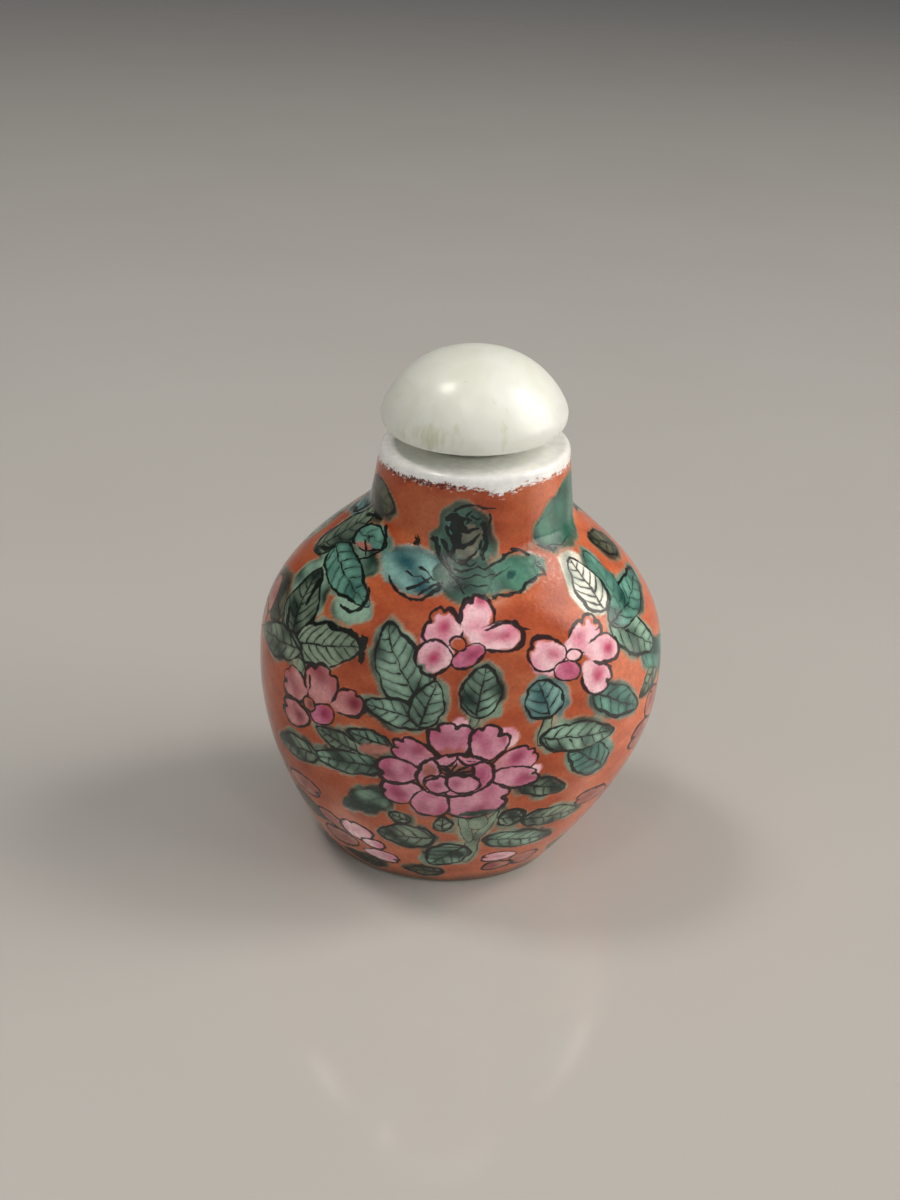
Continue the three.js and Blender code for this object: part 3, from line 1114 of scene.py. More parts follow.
    def strokes(self) -> list[Stroke]:
        """The loose touches of the brush, most of them on the three leaves at the top.

        The spots were read off the photo by eye, and many were turned into angles and heights by
        another script before some were moved by hand.

        Returns:
            The strokes.
        """
        upright = [
            Stroke(((-13.4, 45.2), (-11.0, 45.6), (-8.4, 45.5)), 0.78, -0.4),
            Stroke(((-8.2, 45.3), (-7.2, 44.7), (-7.4, 43.9), (-8.2, 43.0), (-8.6, 42.3),
                    (-7.6, 41.7)), 1.95, 0.8),
            Stroke(((-13.4, 44.6), (-12.6, 43.9), (-10.8, 43.6), (-8.8, 43.7)), 0.49, 0.2),
            Stroke(((-15.2, 43.1), (-13.0, 42.5), (-10.0, 42.0), (-7.5, 41.6)), 0.55, 0.3),
            Stroke(((-5.8, 45.3), (-3.0, 45.6), (-0.4, 45.4), (-2.4, 45.0)), 0.55, 0.3),
            Stroke(((-5.0, 44.1), (-1.4, 44.1), (1.6, 44.4), (3.8, 44.5)), 0.55, 0.3),
            Stroke(((-7.0, 42.8), (-4.0, 42.7), (-0.5, 43.0), (2.2, 43.4), (4.5, 43.9)), 0.68, 0.5),
            Stroke(((4.8, 42.6), (5.5, 42.9), (5.8, 43.4)), 0.42, 0.2),
            Stroke(((-6.0, 41.5), (-3.5, 41.4), (-0.5, 41.7), (2.0, 42.1), (3.5, 42.4)), 0.68, 0.5),
            Stroke(((6.2, 45.1), (7.8, 44.5), (7.4, 43.8), (9.0, 43.2), (7.8, 42.6), (6.2, 42.1),
                    (7.0, 41.8)), 0.68, 0.2),
            Stroke(((-9.6, 46.2), (-6.0, 46.6), (-1.0, 46.9), (3.8, 46.9)), 0.47, 0.3),
            Stroke(((-3.0, 45.8), (-1.5, 46.1), (0.2, 46.4)), 0.34, 0.5),
            Stroke(((3.0, 46.8), (7.5, 46.6), (12.8, 46.5)), 0.39, 0.5),
            Stroke(((0.0, 45.8), (2.5, 45.5), (4.4, 45.6)), 0.39, 0.4),
            Stroke(((9.6, 46.0), (10.4, 45.5), (10.0, 45.0)), 0.44, 0.4),
        ]
        crossing = [
            Stroke(((-20.4, 43.1), (-18.2, 43.2), (-17.4, 42.9)), 0.78, 0.2),
            Stroke(((-19.0, 43.1), (-16.5, 42.3), (-14.0, 41.7), (-11.4, 41.2), (-8.5, 40.8),
                    (-5.6, 40.3), (-3.0, 39.6), (-1.6, 39.2)), 0.6, 0.3),
            Stroke(((-29.4, 42.3), (-27.8, 42.6), (-26.9, 42.3)), 0.78, 0.2),
            Stroke(((-6.5, 40.9), (-3.2, 40.8), (0.5, 41.0), (4.2, 41.2), (7.5, 40.9)), 0.31, 0.3),
            Stroke(((-5.5, 40.4), (-1.8, 40.3), (3.0, 40.6), (6.8, 40.4), (10.8, 40.6)), 0.31, 0.4),
            Stroke(((-2.0, 39.6), (0.8, 39.9), (4.2, 39.7), (7.8, 39.8)), 0.34, 0.4),
            Stroke(((-2.2, 41.4), (0.2, 41.2), (3.8, 41.5)), 0.31, 0.3),
            Stroke(((1.5, 38.8), (4.0, 39.2), (7.0, 39.1)), 0.34, 0.4),
        ]
        right_leaf = [
            Stroke(((7.5, 41.0), (11.2, 41.4), (15.8, 41.7), (20.0, 42.1), (24.0, 42.3)), 0.39, 0.2),
            Stroke(((22.2, 42.4), (26.5, 42.3), (30.5, 41.8)), 0.6, 0.3),
            Stroke(((17.0, 41.9), (20.5, 42.2)), 0.52, 0.4),
            Stroke(((9.8, 38.9), (11.8, 39.2), (14.8, 39.0), (18.0, 39.2), (21.2, 39.3),
                    (25.0, 39.8), (28.8, 39.9), (31.2, 40.2), (34.0, 40.2)), 0.52, 0.0),
            Stroke(((34.0, 40.7), (35.0, 40.4), (35.0, 40.1)), 0.78, 0.3),
            Stroke(((12.0, 40.5), (14.8, 40.8), (19.0, 41.1)), 0.26, 0.6),
        ]
        left_leaf = [
            Stroke(((-11.0, 39.7), (-13.6, 38.9), (-16.8, 38.3), (-21.0, 38.1), (-25.0, 38.4),
                    (-29.2, 38.8), (-33.0, 39.4)), 0.55, 0.3),
            Stroke(((-18.0, 38.6), (-16.8, 39.1), (-14.0, 39.5), (-11.2, 39.7)), 0.44, 0.2),
            Stroke(((-23.5, 38.9), (-20.5, 39.2), (-18.0, 39.7), (-15.5, 40.1)), 0.42, 0.3),
            Stroke(((-27.0, 40.1), (-23.5, 39.9), (-20.0, 40.0), (-16.0, 39.7)), 0.34, 0.3),
            Stroke(((-22.0, 40.6), (-18.5, 40.5), (-14.6, 39.9)), 0.34, 0.3),
            Stroke(((-72.0, 42.2), (-66.0, 42.6), (-58.0, 42.8)), 0.65, 0.4),
            Stroke(((-52.0, 42.5), (-47.0, 41.8), (-44.4, 40.9), (-47.5, 40.0), (-52.0, 39.4)), 0.55,
                   0.3),
            Stroke(((-57.0, 40.8), (-53.0, 40.4), (-50.0, 40.0)), 0.39, 0.3),
            Stroke(((-64.6, 32.7), (-61.0, 31.4), (-56.0, 30.6), (-50.0, 29.8), (-46.4, 28.3)), 0.65,
                   0.4),
            Stroke(((-77.0, 38.0), (-73.0, 38.4), (-69.6, 38.9)), 0.91, 0.4),
            Stroke(((-60.0, 36.6), (-58.6, 35.4), (-57.6, 34.2)), 1.04, 0.5),
            Stroke(((-30.6, 33.8), (-29.4, 32.6), (-28.4, 31.4)), 1.17, 0.4),
            Stroke(((-44.0, 33.9), (-40.0, 33.7), (-36.0, 34.0), (-32.4, 33.7)), 0.78, 0.3),
            Stroke(((-38.0, 38.0), (-36.0, 37.2), (-36.4, 36.2), (-39.0, 35.6), (-44.0, 35.8)), 0.55,
                   0.3),
        ]
        petals = [
            Stroke(((16.6, 37.0), (18.4, 36.3), (20.8, 36.2)), 0.5, 0.5),
            Stroke(((18.4, 36.3), (17.6, 35.2), (15.0, 34.7)), 0.5, 0.6),
            Stroke(((6.6, 36.3), (9.4, 36.7), (13.5, 37.1), (16.6, 37.0)), 0.34, -0.4),
            Stroke(((46.4, 35.6), (46.2, 34.9), (44.0, 34.8)), 0.36, 0.5),
            Stroke(((-44.2, 27.8), (-43.6, 26.6), (-44.6, 25.8)), 0.4, 0.4),
            Stroke(((-11.8, 36.7), (-10.2, 36.8)), 0.3, 0.5),
        ]
        heart = [
            Stroke(((-2.0, 22.5), (1.2, 22.7), (4.8, 22.6), (8.0, 22.1), (9.9, 21.3), (10.5, 20.4),
                    (10.3, 19.5), (9.2, 18.6), (7.2, 18.0), (5.2, 17.5), (-0.2, 16.9)), 0.57, 0.1),
            Stroke(((-2.0, 22.5), (-6.2, 21.9), (-8.6, 21.1), (-9.8, 20.0), (-9.9, 19.2),
                    (-9.0, 18.3), (-6.8, 17.3), (-3.4, 17.0), (-0.2, 16.9)), 0.57, 0.1),
            Stroke(((-6.0, 21.9), (-4.0, 21.1), (-1.8, 21.1), (-0.2, 21.5), (0.6, 22.3),
                    (0.4, 22.6)), 0.49, 0.1),
            Stroke(((0.6, 22.2), (1.4, 21.8), (3.4, 21.4), (5.2, 21.5), (7.8, 22.1)), 0.49, 0.1),
            Stroke(((-4.6, 21.4), (-3.9, 20.7), (-3.8, 20.0), (-4.4, 19.5), (-7.0, 18.9),
                    (-7.6, 18.2)), 0.49, 0.1),
            Stroke(((4.6, 21.4), (5.0, 20.7), (4.9, 20.0), (6.6, 19.5)), 0.49, 0.1),
            Stroke(((-3.9, 20.8), (-0.8, 20.3), (2.2, 20.1), (5.0, 20.0)), 0.46, 0.1),
            Stroke(((-3.8, 20.1), (-0.8, 20.1), (2.4, 20.4), (4.8, 20.6)), 0.38, 0.1),
            Stroke(((-2.6, 21.1), (-1.4, 20.7), (-0.8, 20.2), (-1.2, 19.8)), 0.46, 0.1),
            Stroke(((0.4, 21.6), (-0.8, 20.3), (-2.2, 19.8)), 0.42, 0.1),
            Stroke(((-0.8, 20.2), (1.6, 20.8), (4.2, 21.4)), 0.42, 0.1),
        ]
        neck = [
            Stroke(((37.8, 42.4), (40.8, 42.0), (47.0, 42.0), (52.2, 41.7), (60.5, 42.0)), 0.3, 0.4),
            Stroke(((43.0, 41.9), (45.0, 41.5), (47.5, 41.6)), 0.46, 0.3),
            Stroke(((38.0, 44.0), (42.0, 44.7), (48.0, 44.9), (55.0, 45.4)), 0.2, 0.6),
        ]
        return upright + crossing + right_leaf + left_leaf + petals + heart + neck


@dataclass(frozen=True)
class BackPainting:
    """The hidden side: the same flowers and leaves, fewer and more evenly set."""

    peony_at: Spot = (180.0, 21.0)
    peony_reach: float = 6.2
    outer_petals: int = 8
    inner_petals: int = 5
    leaf_length: float = 6.4
    leaf_width: float = 3.4
    leaf_spread: float = 62.0

    def ring(self, middle: Spot, form: BottleForm, count: int, near: float, far: float,
             width: float, pink: Pink, start: float) -> list[Petal]:
        """A ring of petals round a middle.

        Args:
            middle: The angle and height of the flower's middle.
            form: The bottle that it is painted on.
            count: How many petals.
            near: Their roots' distance from the middle.
            far: Their tips' distance from it.
            width: Their width.
            pink: Their enamel.
            start: The first petal's direction, in degrees.

        Returns:
            The petals, every other one first, so that neighbours overlap both ways.
        """
        across, up = form.measure(middle)
        order = [*range(0, count, 2), *range(1, count, 2)]
        petals = []
        for number in order:
            turn = math.radians(start + 360.0 * number / count)
            reach = (math.cos(turn) / across, math.sin(turn) / up)
            root = (middle[0] + near * reach[0], middle[1] + near * reach[1])
            tip = (middle[0] + far * reach[0], middle[1] + far * reach[1])
            notch = (-24.0, 14.0) if number % 2 else (8.0,)
            petals.append(Petal(root, tip, width, pink, notches=notch))
        return petals

    def flowers(self, form: BottleForm) -> list[Petal]:
        """The back's peony and its small blossoms.

        Args:
            form: The bottle that they are painted on.

        Returns:
            The petals.
        """
        at, far = self.peony_at, self.peony_reach
        petals = self.ring(at, form, self.outer_petals, near=0.3 * far, far=far, width=5.2,
                           pink=Pink.MAUVE, start=12.0)
        petals += self.ring(at, form, self.inner_petals, near=0.3, far=0.5 * far, width=2.9,
                            pink=Pink.DEEP, start=30.0)
        petals += self.ring(at, form, 1, near=-0.8, far=0.8, width=1.5, pink=Pink.DUSK, start=0.0)
        for at in ((150.0, 34.0), (208.0, 34.5), (127.0, 20.0), (233.0, 19.0), (180.0, 5.0),
                   (106.0, 31.0), (255.0, 10.0), (110.0, 8.0)):
            petals += self.ring(at, form, 5, near=0.5, far=3.4, width=3.1, pink=Pink.ROSE,
                                start=3.0 * at[0])
            petals += self.ring(at, form, 1, near=-0.7, far=0.7, width=1.3, pink=Pink.DEEP, start=0.0)
        return petals

    def leaves(self, form: BottleForm) -> list[Leaf]:
        """Pairs of leaves between the back's flowers.

        Args:
            form: The bottle that they are painted on.

        Returns:
            The leaves.
        """
        washes = (Green.LEAF, Green.TEAL, Green.GREY, Green.BLUE)
        sprays = (
            (180.0, 38.5, 90.0, 3), (167.0, 28.5, 110.0, 2), (194.0, 28.5, 70.0, 2),
            (152.0, 24.0, 170.0, 3), (207.0, 24.0, 10.0, 3), (160.0, 12.5, 215.0, 3),
            (200.0, 12.5, 325.0, 3), (129.0, 30.0, 80.0, 3), (231.0, 29.0, 100.0, 3),
            (128.0, 11.5, 250.0, 3), (231.0, 10.0, 270.0, 2), (106.0, 19.0, 100.0, 2),
            (252.0, 22.5, 95.0, 3), (135.0, 39.5, 60.0, 2), (222.0, 39.5, 120.0, 2),
            (100.0, 42.0, 60.0, 2), (256.0, 36.0, 120.0, 2), (150.0, 5.0, 200.0, 2),
            (210.0, 5.0, 340.0, 2), (258.0, 42.0, 60.0, 2),
        )
        leaves = []
        for number, (angle, height, toward, count) in enumerate(sprays):
            across, up = form.measure((angle, height))
            for blade in range(count):
                turn = math.radians(toward + self.leaf_spread * (blade - (count - 1) / 2.0))
                length = self.leaf_length - 0.5 * ((number + blade) % 3)
                tip = (angle + length * math.cos(turn) / across, height + length * math.sin(turn) / up)
                leaves.append(Leaf((angle, height), tip, self.leaf_width, washes[(number + blade) % 4],
                                   depth=0.35 + 0.1 * ((number + 2 * blade) % 4)))
        return leaves


@dataclass(frozen=True)
class LipEdge:
    """Where the coral stops under the lip, and the dry dark red and magenta touches along it."""

    height: float = 48.35
    # What counts as the height above the edge off the painted wall, which keeps it white there
    far_above: float = 3.0
    wave: float = 0.25
    wave_phase: float = 2.3
    dip: float = 0.55
    dip_at: float = 15.0
    dip_width: float = 9.0
    right_step: float = 0.25
    dark: float = 0.37
    dark_reach: float = 0.55
    darker: float = 0.14
    darker_at: float = -30.0
    darker_width: float = 22.0
    rose: float = 0.4
    rose_reach: float = 0.45
    rose_at: float = 14.0
    rose_width: float = 7.0

    def at(self, turn: np.ndarray) -> np.ndarray:
        """Height of the coral's upper edge, which the brush left higher on the right.

        Args:
            turn: Angles round the bottle.

        Returns:
            The height as thrown at each angle.
        """
        base = self.height + self.wave * np.sin(np.radians(turn) * 2.0 + self.wave_phase)
        right = self.right_step * smoothstep(turn, 22.0, 40.0)
        return base - self.dip * bell(turn, self.dip_at, self.dip_width) + right

    def dark_red(self, turn: np.ndarray, above: np.ndarray) -> np.ndarray:
        """How likely a dark red touch is.

        Args:
            turn: Angles round the bottle.
            above: Millimetres above the edge.

        Returns:
            What it adds to the chance.
        """
        at_edge = bell(above, 0.0, self.dark_reach) * smoothstep(turn, 34.0, 22.0)
        return at_edge * (self.dark + self.darker * bell(turn, self.darker_at, self.darker_width))

    def magenta(self, turn: np.ndarray, above: np.ndarray) -> np.ndarray:
        """How likely a magenta touch is.

        Args:
            turn: Angles round the bottle.
            above: Millimetres above the edge.

        Returns:
            What it adds to the chance.
        """
        at_edge = bell(above, 0.0, self.rose_reach)
        return self.rose * at_edge * bell(turn, self.rose_at, self.rose_width)


@dataclass(frozen=True)
class EnamelledPorcelain:
    """Overglaze enamels on hard-paste porcelain, painted by hand and fired to a glassy skin.

    The pen lines are a dark manganese pigment under the clear washes. To the eye that gives clean
    saturated colour with a wet gloss, lines that swell and thin with the hand, washes that pool
    darker along them, and bare white glaze on the lip, in the mouth and under the foot.
    """

    name: str = "overglaze_enamel_on_porcelain"
    leaf_ink: str = "#0A120E"
    flower_ink: str = "#1B060A"
    white: str = "#F9F7F3"
    shade_white: str = "#EAEBE9"
    oxblood: str = "#57190F"
    magenta: str = "#97305A"
    biscuit: str = "#C9B79C"
    ior: float = 1.48
    roughness: float = 0.13
    relief_height: float = 0.05
    hand_shake: float = 0.27
    shake_size: float = 1.5
    stroke_size: float = 0.8
    mottle_size: float = 0.45
    speck_size: float = 0.3
    edge_size: float = 0.9
    bristle_size: float = 0.26
    line_softness: float = 0.09
    pooling: float = 0.45
    ink_cover: float = 0.97
    ink_dullness: float = 0.04
    biscuit_dullness: float = 0.5
    specular: float = 0.45

    def lines(self, tree: bpy.types.NodeTree, count: int, shake: Any, press: Any) -> tuple[Any, Any]:
        """Draws every layer's pen lines and veins.

        Args:
            tree: The material's nodes.
            count: How many layers the painting has.
            shake: The vector socket that shakes the hand.
            press: The socket that swells and thins the line.

        Returns:
            The sockets with the ink, from 0 to 1, and with the wash pooled along the veins.
        """
        ink, pool = None, None
        keen = 1.0 / self.line_softness
        for number in range(count):
            place = add(tree, "Attribute", out="Vector", attribute_name=f"line_{number}")
            moved = add(tree, "VectorMath", {0: place, 1: shake}, operation="ADD")
            from_line, passed, from_midrib = add(tree, "SeparateXYZ", {0: moved}).node.outputs
            held = add(tree, "Attribute", out="Vector", attribute_name=f"pen_{number}")
            pen, vein, _ = add(tree, "SeparateXYZ", {0: held}).node.outputs
            off = add(tree, "Math", {0: from_line}, operation="ABSOLUTE")
            half = add(tree, "Math", {0: pen, 1: press}, operation="MULTIPLY")
            within = add(tree, "Math", {0: half, 1: off}, operation="SUBTRACT")
            line = add(tree, "Math", {0: within, 1: keen}, operation="MULTIPLY", use_clamp=True)
            side = add(tree, "Math", {0: from_midrib}, operation="ABSOLUTE")
            teeth = add(tree, "Math", {0: passed, 1: 0.5}, operation="PINGPONG")
            nearest = add(tree, "Math", {0: teeth, 1: side}, operation="MINIMUM")
            width = add(tree, "Math", {0: press, 1: vein}, operation="MULTIPLY")
            covered = add(tree, "Math", {0: width, 1: nearest}, operation="SUBTRACT")
            inner = add(tree, "Math", {0: from_line, 1: -1.0, 2: -0.2}, operation="MULTIPLY_ADD")
            kept = add(tree, "Math", {0: covered, 1: inner}, operation="MINIMUM")
            sharp = add(tree, "Math", {0: kept, 1: 1.3 * keen}, operation="MULTIPLY", use_clamp=True)
            both = add(tree, "Math", {0: line, 1: sharp}, operation="MAXIMUM")
            veined = add(tree, "Math", {0: vein, 1: 24.0}, operation="MULTIPLY", use_clamp=True)
            wide = add(tree, "Math", {0: kept, 1: 3.0, 2: 0.75}, operation="MULTIPLY_ADD",
                       use_clamp=True)
            laid = add(tree, "Math", {0: wide, 1: veined}, operation="MULTIPLY")
            ink = add(tree, "Math", {0: ink, 1: both}, operation="MAXIMUM") if number else both
            pool = add(tree, "Math", {0: pool, 1: laid}, operation="MAXIMUM") if number else laid
        return ink, pool

    def material(self, layers: int) -> bpy.types.Material:
        """Makes the material.

        Args:
            layers: How many layers of pen lines the painted wall holds.

        Returns:
            The material.
        """
        made = blank(self.name)
        tree = made.node_tree
        place = add(tree, "TexCoord", out="Object")
        hand = add(tree, "TexNoise", {"Vector": place, "Scale": per_metre(self.shake_size),
                                      "Detail": 2.0, "Roughness": 0.55}, out="Color")
        centred = add(tree, "VectorMath", {0: hand, 1: (0.5, 0.5, 0.5)}, operation="SUBTRACT")
        shake = add(tree, "VectorMath", {0: centred, "Scale": self.hand_shake * 2.0},
                    operation="SCALE")
        brush = add(tree, "TexNoise", {"Vector": place, "Scale": per_metre(self.stroke_size),
                                       "Detail": 2.0})
        press = add(tree, "MapRange", {0: brush, 1: 0.3, 2: 0.7, 3: 0.6, 4: 1.35})
        ink, pool = self.lines(tree, layers, shake, press)

        wash = add(tree, "Attribute", attribute_name="enamel")
        mottle = add(tree, "TexNoise", {"Vector": place, "Scale": per_metre(self.mottle_size),
                                        "Detail": 5.0, "Roughness": 0.62, "Distortion": 0.6})
        tone = add(tree, "MapRange", {0: mottle, 1: 0.3, 2: 0.7, 3: 0.8, 4: 1.16})
        varied = add(tree, "VectorMath", {0: wash, "Scale": tone}, operation="SCALE")
        pooled = add(tree, "Math", {0: pool, 1: -self.pooling, 2: 1.0}, operation="MULTIPLY_ADD")
        deep = add(tree, "VectorMath", {0: varied, "Scale": pooled}, operation="SCALE")
        warmth = add(tree, "Attribute", out="Fac", attribute_name="warmth")
        pigment = add(tree, "Mix", {"Factor": warmth, 6: self.leaf_ink, 7: self.flower_ink}, out=2,
                      data_type="RGBA")
        full = add(tree, "Math", {0: ink, 1: self.ink_cover}, operation="MULTIPLY")
        inked = add(tree, "Mix", {"Factor": full, 6: deep, 7: pigment}, out=2, data_type="RGBA")
        edge, whitened = self.lip(tree, place, inked)
        glazed = self.speckled(tree, place, whitened)
        bare = add(tree, "Attribute", out="Fac", attribute_name="biscuit")
        colour = add(tree, "Mix", {"Factor": bare, 6: glazed, 7: self.biscuit}, out=2,
                     data_type="RGBA")

        dull = add(tree, "Math", {0: ink, 1: self.ink_dullness, 2: self.roughness},
                   operation="MULTIPLY_ADD")
        dry = add(tree, "Math", {0: bare, 1: self.biscuit_dullness, 2: dull},
                  operation="MULTIPLY_ADD")
        relief = add(tree, "Attribute", out="Fac", attribute_name="relief")
        grain = add(tree, "Math", {0: mottle, 1: 0.5, 2: relief}, operation="MULTIPLY_ADD")
        raised = add(tree, "Math", {0: ink, 1: 0.1, 2: grain}, operation="MULTIPLY_ADD")
        level = add(tree, "Mix", {"Factor": edge, 2: raised, 3: 0.6})
        bump = add(tree, "Bump", {"Strength": 1.0, "Distance": self.relief_height * MM,
                                  "Height": level})
        skin = add(tree, "BsdfPrincipled", {
            "Base Color": colour, "Roughness": dry, "IOR": self.ior, "Normal": bump,
            "Specular IOR Level": self.specular,
        })
        add(tree, "OutputMaterial", {"Surface": skin})
        return made

    def speckled(self, tree: bpy.types.NodeTree, place: Any, under: Any) -> Any:
        """Adds the dry touches of dark red and magenta under the lip.

        Args:
            tree: The material's nodes.
            place: The socket with coordinates in metres.
            under: The colour socket beneath.

        Returns:
            The colour socket with the touches.
        """
        colour = under
        for name, pigment, offset in (("oxblood", self.oxblood, 0.0), ("magenta", self.magenta, 3.7)):
            there = add(tree, "Attribute", out="Fac", attribute_name=name)
            shifted = add(tree, "VectorMath", {0: place, 1: (offset, offset, offset)},
                          operation="ADD")
            grain = add(tree, "TexNoise", {"Vector": shifted, "Detail": 3.0,
                                           "Scale": per_metre(self.speck_size)})
            chance = add(tree, "Math", {0: grain, 1: there}, operation="ADD")
            mask = add(tree, "MapRange", {0: chance, 1: 0.9, 2: 0.97, 3: 0.0, 4: 0.9})
            colour = add(tree, "Mix", {"Factor": mask, 6: colour, 7: pigment}, out=2,
                         data_type="RGBA")
        return colour

    def lip(self, tree: bpy.types.NodeTree, place: Any, under: Any) -> tuple[Any, Any]:
        """Leaves the white glaze bare above the ragged edge of the coral.

        Args:
            tree: The material's nodes.
            place: The socket with coordinates in metres.
            under: The colour socket of the painted wall.

        Returns:
            The sockets with the share of white glaze and with the colour.
        """
        above = add(tree, "Attribute", out="Fac", attribute_name="above_coral")
        ragged = add(tree, "TexNoise", {"Vector": place, "Scale": per_metre(self.edge_size),
                                        "Detail": 2.0, "Roughness": 0.6})
        drawn = add(tree, "Mapping", {"Vector": place, "Scale": (0.45, 0.45, 1.0)})
        bristles = add(tree, "TexNoise", {"Vector": drawn, "Detail": 4.0, "Roughness": 0.7,
                                          "Scale": per_metre(self.bristle_size)})
        wavy = add(tree, "Math", {0: ragged, 1: 1.1, 2: above}, operation="MULTIPLY_ADD")
        spread = add(tree, "Math", {0: bristles, 1: 2.4, 2: wavy}, operation="MULTIPLY_ADD")
        edge = add(tree, "MapRange", {0: spread, 1: 1.55, 2: 2.05, 3: 0.0, 4: 1.0},
                   interpolation_type="SMOOTHSTEP")
        soft = add(tree, "MapRange", {0: ragged, 1: 0.35, 2: 0.65, 3: 0.0, 4: 1.0})
        white = add(tree, "Mix", {"Factor": soft, 6: self.shade_white, 7: self.white}, out=2,
                    data_type="RGBA")
        colour = add(tree, "Mix", {"Factor": edge, 6: under, 7: white}, out=2, data_type="RGBA")
        return edge, colour


@dataclass(frozen=True)
class PolishedJade:
    """Pale celadon nephrite, ground to a dome and polished by hand to a waxy shine.

    Light goes a little way in, so the dome glows at its edge. Milky clouds drift through it, and
    a few yellow-green streaks run down near its edge.
    """

    name: str = "polished_nephrite_jade"
    body: str = "#DADDD0"
    cloud: str = "#E4E8DE"
    streak: str = "#B2B692"
    ior: float = 1.61
    roughness: float = 0.5
    light_depth: float = 14.0
    light_reach: tuple[float, float, float] = (1.0, 0.97, 0.8)
    wax: float = 0.5
    wax_roughness: float = 0.24
    cloud_size: float = 5.0
    streak_size: float = 1.6
    polish_size: float = 0.5

    def material(self) -> bpy.types.Material:
        """Makes the material.

        Returns:
            The material.
        """
        made = blank(self.name)
        tree = made.node_tree
        place = add(tree, "TexCoord", out="Object")
        clouds = add(tree, "TexNoise", {"Vector": place, "Scale": per_metre(self.cloud_size),
                                        "Detail": 4.0, "Roughness": 0.55, "Distortion": 0.8})
        milk = add(tree, "MapRange", {0: clouds, 1: 0.35, 2: 0.68, 3: 0.0, 4: 1.0})
        milky = add(tree, "Mix", {"Factor": milk, 6: self.body, 7: self.cloud}, out=2,
                    data_type="RGBA")
        drawn = add(tree, "Mapping", {"Vector": place, "Rotation": (0.0, 0.35, 0.0),
                                      "Scale": (1.0, 1.0, 0.28)})
        grain = add(tree, "TexNoise", {"Vector": drawn, "Scale": per_metre(self.streak_size),
                                       "Detail": 3.0, "Roughness": 0.6})
        rim = add(tree, "Attribute", out="Fac", attribute_name="rim")
        chance = add(tree, "Math", {0: rim, 1: 0.26, 2: grain}, operation="MULTIPLY_ADD")
        vein = add(tree, "MapRange", {0: chance, 1: 0.68, 2: 0.88, 3: 0.0, 4: 0.6})
        colour = add(tree, "Mix", {"Factor": vein, 6: milky, 7: self.streak}, out=2,
                     data_type="RGBA")
        rub = add(tree, "TexNoise", {"Vector": place, "Scale": per_metre(self.polish_size),
                                     "Detail": 3.0})
        rough = add(tree, "MapRange", {0: rub, 1: 0.3, 2: 0.7, 3: self.roughness - 0.05,
                                       4: self.roughness + 0.06})
        bump = add(tree, "Bump", {"Strength": 0.35, "Distance": 0.02 * MM, "Height": rub})
        skin = add(tree, "BsdfPrincipled", {
            "Base Color": colour, "Roughness": rough, "IOR": self.ior, "Normal": bump,
            "Coat Weight": self.wax, "Coat Roughness": self.wax_roughness, "Coat IOR": self.ior,
            "Subsurface Weight": 1.0, "Subsurface Radius": self.light_reach,
            "Subsurface Scale": self.light_depth * MM,
        })
        add(tree, "OutputMaterial", {"Surface": skin})
        return made


@dataclass(frozen=True)
class LacqueredBoard:
    """Pale board under a thin satin lacquer, faintly uneven, so that it stays quiet.

    The lacquer mirrors the lamps a little, which lights the bottle's lower edge from below.
    """

    name: str = "pale_lacquered_board"
    colour: str = "#BBB9B5"
    shade: str = "#B5B2AD"
    patch_size: float = 60.0
    roughness: float = 0.6
    lacquer: float = 1.0
    lacquer_roughness: float = 0.1

    def material(self) -> bpy.types.Material:
        """Makes the material.

        Returns:
            The material.
        """
        made = blank(self.name)
        tree = made.node_tree
        place = add(tree, "TexCoord", out="Object")
        patch = add(tree, "TexNoise", {"Vector": place, "Scale": per_metre(self.patch_size)})
        colour = add(tree, "Mix", {"Factor": patch, 6: self.shade, 7: self.colour}, out=2,
                     data_type="RGBA")
        skin = add(tree, "BsdfPrincipled", {
            "Base Color": colour, "Roughness": self.roughness,
            "Coat Weight": self.lacquer, "Coat Roughness": self.lacquer_roughness,
        })
        add(tree, "OutputMaterial", {"Surface": skin})
        return made


